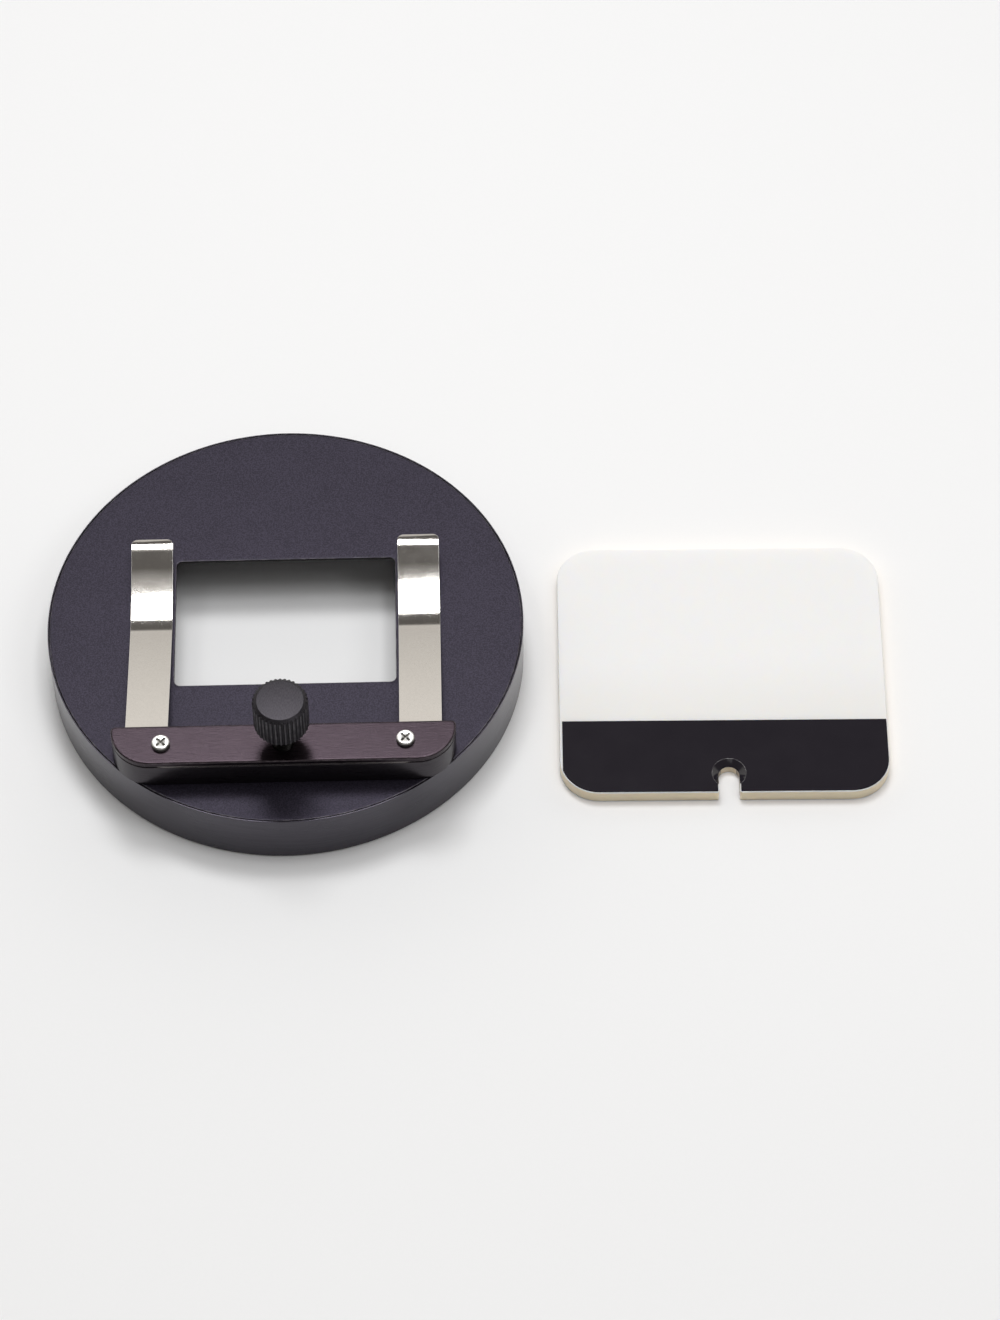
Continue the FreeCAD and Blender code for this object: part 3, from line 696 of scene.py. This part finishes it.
def spring_leg(side):
    """Stamps a leg flat, rounds its sheared edges, and bends it along the path."""
    path = leg_path()
    lengths = [0.0]
    for (y0, z0), (y1, z1) in zip(path, path[1:]):
        lengths.append(lengths[-1] + hypot(y1 - y0, z1 - z0))
    bm = bmesh.new()
    blank(bm, LEG_WIDTH / 2.0, 0.0, lengths[-1], 0.0, LEG_TIP_CORNER)
    for length in lengths[1:-1]:
        bmesh.ops.bisect_plane(bm, geom=bm.verts[:] + bm.edges[:] + bm.faces[:],
                               plane_co=(0.0, length, 0.0), plane_no=(0.0, 1.0, 0.0))
    thicken(bm, SPRING_THICKNESS)
    ease_rims(bm, SPRING_THICKNESS, SHEARED_EDGE, test=lambda place: place.y > EXACT)
    mark(bm, "worn_edge", sloping)
    slopes = [atan2(z1 - z0, y1 - y0) for (y0, z0), (y1, z1) in zip(path, path[1:])]
    tilts = [(before + after) / 2.0 for before, after in zip(slopes[:1] + slopes, slopes + slopes[-1:])]
    for v in bm.verts:
        length = min(max(v.co.y, 0.0), lengths[-1])
        start = max(index for index, passed in enumerate(lengths[:-1]) if passed <= length)
        share = (length - lengths[start]) / (lengths[start + 1] - lengths[start])
        y, z = (first + share * (last - first) for first, last in zip(path[start], path[start + 1]))
        tilt = tilts[start] + share * (tilts[start + 1] - tilts[start])
        if length < EXACT:
            # The root's end face stays upright, against the bar.
            tilt = 0.0
        height = v.co.z
        v.co.y = y - height * sin(tilt) + BAR_REAR
        v.co.z = z + height * cos(tilt) + SPRING_FOOT
        v.co.x += side * LEG_SPACING / 2.0
    return bm


for side, word in ((-1, "left"), (1, "right")):
    leg = piece_from(spring_leg(side), "leg_" + word + "_steel", steel, crease=50.0)
    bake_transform(leg)
    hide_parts("spring_leg_" + word)


# ---- Cover -------------------------------------------------------------------
# The bar's upper plate, which clamps the spring down. It is brushed along its length, and its black
# anodising has faded to a purple brown.
COVER_FOOT = SPRING_FOOT + SPRING_THICKNESS
COVER_THICKNESS = 1.0
COVER_TOP = COVER_FOOT + COVER_THICKNESS
COVER_EDGE_ROUND = 0.25
COVER_FOOT_EASE = 0.08
COVER_COLLAR = 0.45

cover_mesh = bmesh.new()
cover_outline = blank(cover_mesh, BAR_HALF_WIDTH, BAR_FRONT, BAR_REAR, BAR_FRONT_CORNER, BAR_REAR_CORNER)
cover_holes = [disc(cover_mesh, STUD_HOLE + COVER_COLLAR, 0.0, BAR_MIDDLE, HOLE_STEPS)]
for x in BAR_SCREW_PLACES:
    cover_holes.append(disc(cover_mesh, SCREW_HOLE + COVER_COLLAR, x, BAR_MIDDLE, SMALL_HOLE_STEPS))
punched(cover_mesh, cover_outline, cover_holes, COVER_COLLAR, COVER_THICKNESS)
ease_rims(cover_mesh, COVER_THICKNESS, COVER_EDGE_ROUND, segments=5)
ease_rims(cover_mesh, 0.0, COVER_FOOT_EASE)
mark(cover_mesh, "worn_edge", sloping)
bmesh.ops.translate(cover_mesh, vec=(0.0, 0.0, COVER_FOOT), verts=cover_mesh.verts)
cover_black = black_anodised(
    "cover_black",
    dark=(0.0235, 0.0165, 0.0212, 1.0),
    light=(0.034, 0.025, 0.031, 1.0),
    worn=(0.12, 0.10, 0.11, 1.0),
    roughness=0.27,
    lines=(0.025, 1.0, 1.0),
    grain=0.08,
    relief_depth=0.0065,
)
bar_cover = piece_from(cover_mesh, "bar_cover", cover_black)
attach(bar_cover, "cap")
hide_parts("cover_plate")


# ---- Bar screws --------------------------------------------------------------
# Two M2 pan-head screws with a cross recess, bright nickel plated. They go through the cover and the
# spring into the block.
SCREW_LENGTH = 5.2
SCREW_RADIUS = 1.0
SCREW_POINT = 0.25
SCREW_STEPS = 48
HEAD_RADIUS = 1.5
HEAD_HEIGHT = 0.9
HEAD_FOOT_BREAK = 0.06
HEAD_ROUND = 0.34
HEAD_FLAT_RADIUS = 1.14
HEAD_CROWN = 0.001
RECESS_HALF_SPAN = 1.02
RECESS_HALF_WIDTH = 0.2
RECESS_DEPTH = 0.65
RECESS_LIP = 0.05
RECESS_LIP_DROP = 0.03
# Each stage of the recess: its share of the depth, and how far it draws in from the stage before.
RECESS_STAGES = ((0.55, 0.86), (1.0, 0.45))
# Depths between which the cross recess is painted dark, as painted shade.
RECESS_SHADE_FROM, RECESS_SHADE_TO = 0.04, 0.3
NICKEL_BRIGHT = (0.86, 0.855, 0.84, 1.0)
NICKEL_TARNISH_AND_SHADE = (0.30, 0.29, 0.27, 1.0)


def cross_recess(bm, turn, level, inwards):
    """Fills a screw's open end round a cross, and sinks the cross in three tapering stages."""
    span, half = RECESS_HALF_SPAN + RECESS_LIP, RECESS_HALF_WIDTH + RECESS_LIP
    outline = []
    for quarter in range(4):
        quarter_turn = Matrix.Rotation(radians(90.0 * quarter), 2)
        outline += [quarter_turn @ Vector(point) for point in ((span, -half), (span, half), (half, half))]
    whole_turn = Matrix.Rotation(radians(turn), 2)
    cross = bm.faces.new([bm.verts.new((*(whole_turn @ point), level)) for point in outline])
    rim = [edge for edge in bm.edges if len(edge.link_faces) == 1]
    bmesh.ops.triangle_fill(bm, use_beauty=True, edges=rim, normal=(0.0, 0.0, 1.0))
    bmesh.ops.inset_individual(bm, faces=[cross], thickness=RECESS_LIP, use_even_offset=True)
    bmesh.ops.translate(bm, vec=(0.0, 0.0, inwards * RECESS_LIP_DROP), verts=cross.verts)
    for depth, shrink in RECESS_STAGES:
        cross = bmesh.ops.extrude_discrete_faces(bm, faces=[cross])["faces"][0]
        for v in cross.verts:
            v.co.x *= shrink
            v.co.y *= shrink
            v.co.z = level + inwards * RECESS_DEPTH * depth
    bmesh.ops.recalc_face_normals(bm, faces=bm.faces)


nickel = Finish(bpy.data.materials.new("screw_bright"))
head_top = COVER_TOP + HEAD_HEIGHT
# The nickel is painted dark deep in the cross recess as painted shade, and in patches as tarnish.
recess_shade = nickel.step(nickel.part(nickel.place(), "Z"), (head_top - RECESS_SHADE_FROM) * MM,
                        (head_top - RECESS_SHADE_TO) * MM)
tarnish = nickel.noise(nickel.place(), size=0.4, detail=3.0)
tarnish_and_shade = recess_shade * 0.75 + 0.25 * nickel.step(tarnish, 0.5, 0.75)
nickel.surface(
    Base_Color=nickel.mix(tarnish_and_shade, NICKEL_BRIGHT, NICKEL_TARNISH_AND_SHADE),
    Metallic=1.0,
    Roughness=0.24 + 0.12 * tarnish + 0.15 * recess_shade,
    Normal=nickel.relief(tarnish, 0.004),
)

for x, word in zip(BAR_SCREW_PLACES, ("left", "right")):
    screw_mesh = turned([
        (0.0, -SCREW_LENGTH, 0.0),
        (SCREW_RADIUS - SCREW_POINT, -SCREW_LENGTH, 0.0),
        (SCREW_RADIUS, -SCREW_LENGTH + SCREW_POINT, 0.0),
        (SCREW_RADIUS, 0.0, 0.0),
        (HEAD_RADIUS - HEAD_FOOT_BREAK, 0.0, 0.0),
        (HEAD_RADIUS, HEAD_FOOT_BREAK, 0.0),
        (HEAD_RADIUS, HEAD_HEIGHT - HEAD_CROWN, HEAD_ROUND),
        (HEAD_FLAT_RADIUS, HEAD_HEIGHT, 0.0),
    ], SCREW_STEPS, closed=False)
    cross_recess(screw_mesh, 45.0, HEAD_HEIGHT, -1.0)
    mark(screw_mesh, "worn_edge", sloping)
    bmesh.ops.translate(screw_mesh, vec=(x, BAR_MIDDLE, COVER_TOP), verts=screw_mesh.verts)
    screw = piece_from(screw_mesh, "bar_screw_" + word, nickel)
    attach(screw, "cap")
    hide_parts("bar_screws")


# ---- Block screws ------------------------------------------------------------
# Two M2 countersunk screws, blackened. They hold the block from inside the cap, with their heads
# flush in the face plate's underside.
BLOCK_SCREW_LENGTH = 4.6
SINK_HEAD_RADIUS = 1.8
SINK_FLAT_RADIUS = 1.15
BLACKENED = (0.10, 0.10, 0.105, 1.0)
BLACKENED_RUBBED = (0.34, 0.33, 0.32, 1.0)

blackened = Finish(bpy.data.materials.new("screw_dark"))
oiled = blackened.noise(blackened.place(), size=0.5, detail=3.0)
rubs = blackened.step(oiled, 0.45, 0.7) * (0.3 + 0.5 * blackened.marked("worn_edge"))
blackened.surface(
    Base_Color=blackened.mix(rubs, BLACKENED, BLACKENED_RUBBED),
    Metallic=1.0,
    Roughness=0.36 + 0.15 * oiled,
    Normal=blackened.relief(oiled, 0.004),
)

for x, word in zip(BLOCK_SCREW_PLACES, ("left", "right")):
    screw_mesh = turned([
        (SINK_FLAT_RADIUS, 0.0, 0.0),
        (SINK_HEAD_RADIUS - HEAD_FOOT_BREAK, 0.0, 0.0),
        (SINK_HEAD_RADIUS, HEAD_FOOT_BREAK, 0.0),
        (SCREW_RADIUS, SINK_DEPTH, 0.0),
        (SCREW_RADIUS, BLOCK_SCREW_LENGTH - SCREW_POINT, 0.0),
        (SCREW_RADIUS - SCREW_POINT, BLOCK_SCREW_LENGTH, 0.0),
        (0.0, BLOCK_SCREW_LENGTH, 0.0),
    ], SCREW_STEPS, closed=False)
    cross_recess(screw_mesh, 0.0, 0.0, 1.0)
    mark(screw_mesh, "worn_edge", sloping)
    bmesh.ops.translate(screw_mesh, vec=(x, BAR_MIDDLE, PLATE_FOOT), verts=screw_mesh.verts)
    screw = piece_from(screw_mesh, "block_screw_" + word, blackened)
    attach(screw, "cap")
    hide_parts("block_screws")


# ---- Thumbscrew stud ---------------------------------------------------------
# A length of M3 thread in blackened steel, screwed into the block and fixed in the knob. Its thread
# is cut as a true helix of half a millimetre a turn.
STUD_FOOT = 12.0
STUD_TOP = 26.35
PITCH = 0.5
CREST_RADIUS = 1.48
THREAD_ROOT_RADIUS = 1.21
THREAD_ROOT_END = 0.12
THREAD_CREST_FROM, THREAD_CREST_TO = 0.28, 0.34
THREAD_STEPS = 28
SPARE_TURNS = 2
HELIX_DROP = 0.004
CREST_BRIGHT_FROM, CREST_BRIGHT_TO = 1.38, 1.47
# Blackened steel painted darker still, as painted shade under the knob, with its crests painted lighter as
# painted highlights.
STUD_DARK_AND_SHADE = (0.01, 0.0095, 0.0095, 1.0)
STUD_CREST_HIGHLIGHT = (0.04, 0.039, 0.038, 1.0)

stud_mesh = bmesh.new()
thread_turns = round((STUD_TOP - STUD_FOOT) / PITCH) + SPARE_TURNS
thread_outline = [
    (THREAD_ROOT_RADIUS, 0.0),
    (THREAD_ROOT_RADIUS, THREAD_ROOT_END),
    (CREST_RADIUS, THREAD_CREST_FROM),
    (CREST_RADIUS, THREAD_CREST_TO),
    (THREAD_ROOT_RADIUS, PITCH),
]
thread_points = [stud_mesh.verts.new((radius, 0.0, z)) for radius, z in thread_outline]
thread_edges = [stud_mesh.edges.new(pair) for pair in zip(thread_points, thread_points[1:])]
bmesh.ops.spin(stud_mesh, geom=thread_points + thread_edges, cent=(0.0, 0.0, 0.0), axis=(0.0, 0.0, 1.0),
               dvec=(0.0, 0.0, PITCH / THREAD_STEPS), angle=2.0 * pi * thread_turns,
               steps=THREAD_STEPS * thread_turns)
bmesh.ops.remove_doubles(stud_mesh, verts=stud_mesh.verts, dist=WELD)
# The helix starts its spare turns lower, and a hair more, so that no corner of it lies in a saw cut.
helix_foot = STUD_FOOT - SPARE_TURNS * PITCH - HELIX_DROP
bmesh.ops.translate(stud_mesh, vec=(0.0, BAR_MIDDLE, helix_foot), verts=stud_mesh.verts)
for level, direction in ((STUD_FOOT, -1.0), (STUD_TOP, 1.0)):
    everything = stud_mesh.verts[:] + stud_mesh.edges[:] + stud_mesh.faces[:]
    sawn = bmesh.ops.bisect_plane(stud_mesh, geom=everything, plane_co=(0.0, 0.0, level),
                                  plane_no=(0.0, 0.0, direction), clear_outer=True)
    rim = [item for item in sawn["geom_cut"] if isinstance(item, bmesh.types.BMEdge)]
    bmesh.ops.triangle_fill(stud_mesh, use_beauty=True, edges=rim, normal=(0.0, 0.0, direction))
bmesh.ops.recalc_face_normals(stud_mesh, faces=stud_mesh.faces)

stud_dark = Finish(bpy.data.materials.new("stud_dark"))
from_middle = stud_dark.node("ShaderNodeVectorMath", {"operation": "SUBTRACT"},
                             {0: stud_dark.place(up=0.0), 1: (0.0, BAR_MIDDLE * MM, 0.0)})
crest_highlight = stud_dark.step(stud_dark.length(from_middle), CREST_BRIGHT_FROM * MM, CREST_BRIGHT_TO * MM)
crest_speckle = stud_dark.noise(stud_dark.place(), size=0.2, detail=3.0)
# The crests are painted lighter in specks as painted highlights, over a colour darkened by painted shade.
stud_dark.surface(
    Base_Color=stud_dark.mix(crest_highlight * (0.4 + 0.6 * crest_speckle), STUD_DARK_AND_SHADE, STUD_CREST_HIGHLIGHT),
    Metallic=1.0,
    Roughness=0.36 - 0.12 * crest_highlight + 0.1 * crest_speckle,
    Normal=stud_dark.relief(crest_speckle, 0.004),
)
stud = piece_from(stud_mesh, "threaded_stud", stud_dark, crease=30.0)
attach(stud, "stud")
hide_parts("thumb_stud")


# ---- Knob --------------------------------------------------------------------
# An aluminium knob turned and anodised black, with 36 straight grooves round it for the fingers.
# The cone under it centres the diffuser's slot on the stud.
KNOB_FOOT = 22.4
KNOB_RADIUS = 4.55
KNOB_HEIGHT = 6.6
KNOB_TOP_FLAT = 3.85
KNOB_TOP_DROP = 0.45
KNOB_TOP_EASE = 0.06
KNOB_FOOT_BREAK = 0.3
RIBS = 36
RIB_STEPS = 8
GROOVE_DEPTH = 0.34
# The groove's depth at the steps from one rib's crest to the next, as shares of the full depth.
GROOVE_SHARES = (0.0, 0.04, 0.42, 0.88, 1.0, 0.88, 0.42, 0.04)
RUBBED_DEPTH = 0.1
CONE_FOOT_RADIUS, CONE_TOP_RADIUS, CONE_HEIGHT = 1.85, 2.7, 0.75
CONE_EASE = 0.05
SOCKET_DEPTH = 4.0


def rubbed_lit_crest(face):
    """Whether a face of the knob lies on a rib's crest, where fingers rub; the lighter colour given there
    is finger wear and painted highlight together.
    """
    middle = face.calc_center_median()
    return from_axis(middle, 0.0, 0.0) > KNOB_RADIUS - RUBBED_DEPTH and middle.z > KNOB_FOOT_BREAK


knob_mesh = turned([
    (0.0, SOCKET_DEPTH, 0.0),
    (STUD_THREAD, SOCKET_DEPTH, 0.0),
    (STUD_THREAD, -CONE_HEIGHT, 0.0),
    (CONE_FOOT_RADIUS, -CONE_HEIGHT, CONE_EASE),
    (CONE_TOP_RADIUS, 0.0, 0.0),
    (KNOB_RADIUS - KNOB_FOOT_BREAK, 0.0, 0.0),
    (KNOB_RADIUS, KNOB_FOOT_BREAK, 0.0),
    (KNOB_RADIUS, KNOB_HEIGHT - KNOB_TOP_DROP, 0.0),
    (KNOB_TOP_FLAT, KNOB_HEIGHT, KNOB_TOP_EASE),
    (0.0, KNOB_HEIGHT, 0.0),
], RIBS * RIB_STEPS, closed=False)
for v in knob_mesh.verts:
    if from_axis(v.co, 0.0, 0.0) > KNOB_RADIUS - ROUGHLY:
        # Each column of the skirt is drawn in to the groove's floor, and runs on up or down the slopes.
        column = round(atan2(v.co.y, v.co.x) / (2.0 * pi) * RIBS * RIB_STEPS)
        depth = GROOVE_DEPTH * GROOVE_SHARES[column % RIB_STEPS]
        v.co.x *= (KNOB_RADIUS - depth) / KNOB_RADIUS
        v.co.y *= (KNOB_RADIUS - depth) / KNOB_RADIUS
        if v.co.z < KNOB_HEIGHT / 2.0:
            v.co.z -= min(depth, KNOB_FOOT_BREAK - EXACT)
        else:
            v.co.z += depth * KNOB_TOP_DROP / (KNOB_RADIUS - KNOB_TOP_FLAT)
bmesh.ops.recalc_face_normals(knob_mesh, faces=knob_mesh.faces)
mark(knob_mesh, "worn_edge", rubbed_lit_crest)
bmesh.ops.translate(knob_mesh, vec=(0.0, BAR_MIDDLE, KNOB_FOOT), verts=knob_mesh.verts)
# The knob's worn colour on the crests stands for finger wear and painted highlight together.
knob_black = black_anodised(
    "knob_black",
    dark=(0.0235, 0.0215, 0.0255, 1.0),
    light=(0.0375, 0.035, 0.040, 1.0),
    worn=(0.13, 0.124, 0.132, 1.0),
    roughness=0.38,
    lines=(1.0, 0.25, 0.6),
    grain=0.12,
    relief_depth=0.006,
)
knob = piece_from(knob_mesh, "grooved_knob", knob_black, crease=28.0)
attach(knob, "knob")
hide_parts("thumb_knob")


# ---- Diffuser ----------------------------------------------------------------
# A loose panel of opal acrylic, 2.5 mm thick, with round corners. A countersunk slot in its front
# edge goes round the thumbscrew's stud under the knob.
PANEL_HALF_WIDTH = 27.5
PANEL_FRONT, PANEL_REAR = -25.0, 25.0
PANEL_THICKNESS = 2.5
PANEL_CORNER = 6.5
PANEL_CORNER_STEPS = 14
PANEL_EDGE = 0.15
SLOT_MIDDLE = 0.6
SLOT_HALF_WIDTH = 1.75
SLOT_DEPTH = 3.85
SLOT_MOUTH_CORNER = 0.3
SLOT_SIDE_MARGIN = 0.01
SLOT_SIDE_TILT = 0.7
SLOT_END = PANEL_FRONT + SLOT_DEPTH
# The slot's end is a half circle, less a hair, so that its two round corners stay apart.
SLOT_END_CORNER = SLOT_HALF_WIDTH * 0.999
SINK_TOP_RADIUS = 2.85
SINK_SLOPE = CONE_HEIGHT / (CONE_TOP_RADIUS - CONE_FOOT_RADIUS)
SINK_BELOW, SINK_ABOVE = 1.5, 0.5
SINK_STEPS = 96
SINK_RIM_ROUND = 0.14
PRINT_REAR = PANEL_FRONT + 14.4
PRINT_LEFT = -PANEL_HALF_WIDTH + 0.45
PRINT_THICKNESS = 0.03
PRINT_LIFT = 0.021
PRINT_SHADE = 14.0
PRINT_LEVEL = 0.99
PRINT_RIM_TILTS = (0.78, 0.998)
MOSTLY_UPRIGHT = 0.3
PANEL_PLACE = (73.3, -5.8, 0.0)
PANEL_TURN = -0.89

panel_mesh = bmesh.new()
slot_left, slot_right = SLOT_MIDDLE - SLOT_HALF_WIDTH, SLOT_MIDDLE + SLOT_HALF_WIDTH
slot_top = SLOT_END + SLOT_HALF_WIDTH
panel_outline = [
    ((-PANEL_HALF_WIDTH, PANEL_FRONT), PANEL_CORNER),
    ((slot_left, PANEL_FRONT), SLOT_MOUTH_CORNER),
    ((slot_left, slot_top), SLOT_END_CORNER),
    ((slot_right, slot_top), SLOT_END_CORNER),
    ((slot_right, PANEL_FRONT), SLOT_MOUTH_CORNER),
    ((PANEL_HALF_WIDTH, PANEL_FRONT), PANEL_CORNER),
    ((PANEL_HALF_WIDTH, PANEL_REAR), PANEL_CORNER),
    ((-PANEL_HALF_WIDTH, PANEL_REAR), PANEL_CORNER),
]
panel_corners = [panel_mesh.verts.new((x, y, 0.0)) for (x, y), radius in panel_outline]
panel_mesh.faces.new(panel_corners)
for corner, (place, radius) in zip(panel_corners, panel_outline):
    bmesh.ops.bevel(panel_mesh, geom=[corner], offset=radius, segments=PANEL_CORNER_STEPS, profile=0.5,
                    affect="VERTICES", material=-1)
thicken(panel_mesh, PANEL_THICKNESS)
ease_rims(panel_mesh, PANEL_THICKNESS, PANEL_EDGE, segments=2)
ease_rims(panel_mesh, 0.0, PANEL_EDGE, segments=2)
panel_draft = bpy.data.meshes.new("panel_draft")
panel_mesh.to_mesh(panel_draft)
panel_mesh.free()

# The slot's end is countersunk by a cone, as steep as the one under the knob.
sink_mesh = bmesh.new()
bmesh.ops.create_cone(
    sink_mesh,
    cap_ends=True,
    segments=SINK_STEPS,
    radius1=SINK_TOP_RADIUS - SINK_BELOW / SINK_SLOPE,
    radius2=SINK_TOP_RADIUS + SINK_ABOVE / SINK_SLOPE,
    depth=SINK_BELOW + SINK_ABOVE,
)
sink_level = PANEL_THICKNESS + (SINK_ABOVE - SINK_BELOW) / 2.0
bmesh.ops.translate(sink_mesh, vec=(SLOT_MIDDLE, SLOT_END, sink_level), verts=sink_mesh.verts)
sink_draft = bpy.data.meshes.new("sink_draft")
sink_mesh.to_mesh(sink_draft)
sink_mesh.free()
drafts = [bpy.data.objects.new(mesh.name, mesh) for mesh in (panel_draft, sink_draft)]
for draft in drafts:
    bpy.context.scene.collection.objects.link(draft)
countersinking = drafts[0].modifiers.new("countersinking", "BOOLEAN")
countersinking.operation = "DIFFERENCE"
countersinking.solver = "EXACT"
countersinking.object = drafts[1]
evaluated = drafts[0].evaluated_get(bpy.context.evaluated_depsgraph_get())
countersunk = bpy.data.meshes.new_from_object(evaluated)
for draft in drafts:
    bpy.data.objects.remove(draft)

panel_mesh = bmesh.new()
panel_mesh.from_mesh(countersunk)


def on_sink_rim(v):
    """Whether a corner of the panel lies on the countersink's rim."""
    off_rim = from_axis(v.co, SLOT_MIDDLE, SLOT_END) - SINK_TOP_RADIUS
    return abs(v.co.z - PANEL_THICKNESS) < EXACT and abs(off_rim) < ROUGHLY


def slot_side(face):
    """Whether a face is one of the slot's two straight sides."""
    beside = abs(face.calc_center_median().x - SLOT_MIDDLE)
    return beside < SLOT_HALF_WIDTH + SLOT_SIDE_MARGIN and abs(face.normal.x) > SLOT_SIDE_TILT


def printed(face):
    """Whether a face carries the print: the flat top and the countersink's slope do."""
    from_middle = from_axis(face.calc_center_median(), SLOT_MIDDLE, SLOT_END)
    in_sink = from_middle < SINK_TOP_RADIUS + SINK_RIM_ROUND
    return face.normal.z >= PRINT_LEVEL or (in_sink and face.normal.z > MOSTLY_UPRIGHT)


def on_print_rim(face):
    """Whether a face of the print lies on its eased edge or on the countersink's round rim."""
    lowest, highest = PRINT_RIM_TILTS
    return lowest < face.normal.z < highest


sink_rim = [edge for edge in panel_mesh.edges if all(on_sink_rim(v) for v in edge.verts)]
bmesh.ops.bevel(panel_mesh, geom=sink_rim, offset=SINK_RIM_ROUND, segments=EASE_STEPS, profile=0.5,
                affect="EDGES", material=-1, clamp_overlap=True)
bmesh.ops.recalc_face_normals(panel_mesh, faces=panel_mesh.faces)
mark(panel_mesh, "cut_edge", lambda face: abs(face.normal.z) < MOSTLY_UPRIGHT)
# The slot's sides are marked for painted shade.
mark(panel_mesh, "slot_shade", slot_side)

OPAL_DARK = (0.883, 0.881, 0.878, 1.0)
OPAL_LIGHT = (0.893, 0.891, 0.888, 1.0)
OPAL_PAINTED_SHADE = (0.82, 0.81, 0.785, 1.0)
# Warm cream painted on the cut edges, as painted light carried through the opal.
OPAL_EDGE_GLOW = (0.98, 0.80, 0.57, 1.0)
# Dark brown painted on the slot's sides, as painted shade.
OPAL_SLOT_SHADE = (0.38, 0.31, 0.24, 1.0)

opal = Finish(bpy.data.materials.new("opal_white"))
depth_clouds = opal.noise(opal.place(), size=14.0, detail=2.0)
scratches = opal.step(opal.noise(opal.place(along=0.05), size=0.25, detail=2.0), 0.66, 0.74)
sawn_edge = opal.marked("cut_edge")
# Beside the print the white is painted a little darker and warmer, as painted shade where the print
# swallows light inside the panel, and the slot's sides, with print on both, are painted darker still as
# painted shade.
print_edge = (PANEL_PLACE[1] + PRINT_REAR) * MM
print_side_shade = opal.step(opal.part(opal.place(), "Y"), print_edge + PRINT_SHADE * MM, print_edge)
white = opal.mix(print_side_shade * 0.7, opal.mix(depth_clouds, OPAL_DARK, OPAL_LIGHT), OPAL_PAINTED_SHADE)
edge_glow_and_shade = opal.mix(opal.marked("slot_shade"), OPAL_EDGE_GLOW, OPAL_SLOT_SHADE)
# The cut edges take the painted edge light, and the slot's sides the painted shade.
opal.surface(
    Base_Color=opal.mix(sawn_edge, white, edge_glow_and_shade),
    Roughness=0.14 + 0.12 * scratches + 0.22 * sawn_edge,
    Normal=opal.relief(depth_clouds, 0.01),
    Subsurface_Weight=0.55,
    Subsurface_Radius=(1.0, 0.86, 0.66),
    Subsurface_Scale=2.2 * MM,
    IOR=1.49,
)

# The black print on the panel's front part is a layer of its own. It goes down the countersink's
# slope, and round the rim it is painted light grey in patches, as painted highlights.
print_mesh = panel_mesh.copy()
rear_limit = ((0.0, PRINT_REAR, 0.0), (0.0, 1.0, 0.0))
left_limit = ((PRINT_LEFT, 0.0, 0.0), (-1.0, 0.0, 0.0))
for place, outward in (rear_limit, left_limit):
    everything = print_mesh.verts[:] + print_mesh.edges[:] + print_mesh.faces[:]
    bmesh.ops.bisect_plane(print_mesh, geom=everything, plane_co=place, plane_no=outward, clear_outer=True)
print_mesh.normal_update()
unprinted = [face for face in print_mesh.faces if not printed(face)]
bmesh.ops.delete(print_mesh, geom=unprinted, context="FACES")
mark(print_mesh, "sink_rim_highlight", on_print_rim)
bmesh.ops.translate(print_mesh, vec=(0.0, 0.0, PRINT_LIFT), verts=print_mesh.verts)
bmesh.ops.solidify(print_mesh, geom=print_mesh.faces[:], thickness=PRINT_THICKNESS)
bmesh.ops.recalc_face_normals(print_mesh, faces=print_mesh.faces)
for mesh in (panel_mesh, print_mesh):
    bmesh.ops.rotate(mesh, matrix=Matrix.Rotation(radians(PANEL_TURN), 3, "Z"), verts=mesh.verts)
    bmesh.ops.translate(mesh, vec=PANEL_PLACE, verts=mesh.verts)

INK_DARK = (0.0135, 0.0115, 0.0165, 1.0)
INK_LIGHT = (0.0185, 0.016, 0.0215, 1.0)
# Light grey painted in patches round the countersink's rim, as painted highlights.
INK_RIM_HIGHLIGHT = (0.52, 0.51, 0.52, 1.0)

ink = Finish(bpy.data.materials.new("black_print"))
ink_clouds = ink.noise(ink.place(), size=6.0, detail=3.0)
hairlines = ink.step(ink.noise(ink.place(across=0.06), size=0.2, detail=2.0), 0.68, 0.76)
highlight_patches = ink.step(ink.noise(ink.place(), size=1.6, detail=3.0), 0.38, 0.62, low=0.12, high=0.75)
rim_highlight = ink.marked("sink_rim_highlight") * highlight_patches
ink.surface(
    Base_Color=ink.mix(rim_highlight, ink.mix(ink_clouds, INK_DARK, INK_LIGHT), INK_RIM_HIGHLIGHT),
    Roughness=0.06 + 0.03 * ink_clouds + 0.04 * hairlines,
    Normal=ink.relief(ink_clouds, 0.004),
    IOR=1.5,
)
diffuser = piece_from(panel_mesh, "opal_diffuser", opal, crease=30.0)
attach(diffuser, "diffuser")
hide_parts("diffuser_panel")
diffuser_print = piece_from(print_mesh, "diffuser_print", ink, crease=30.0)
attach(diffuser_print, "diffuser")
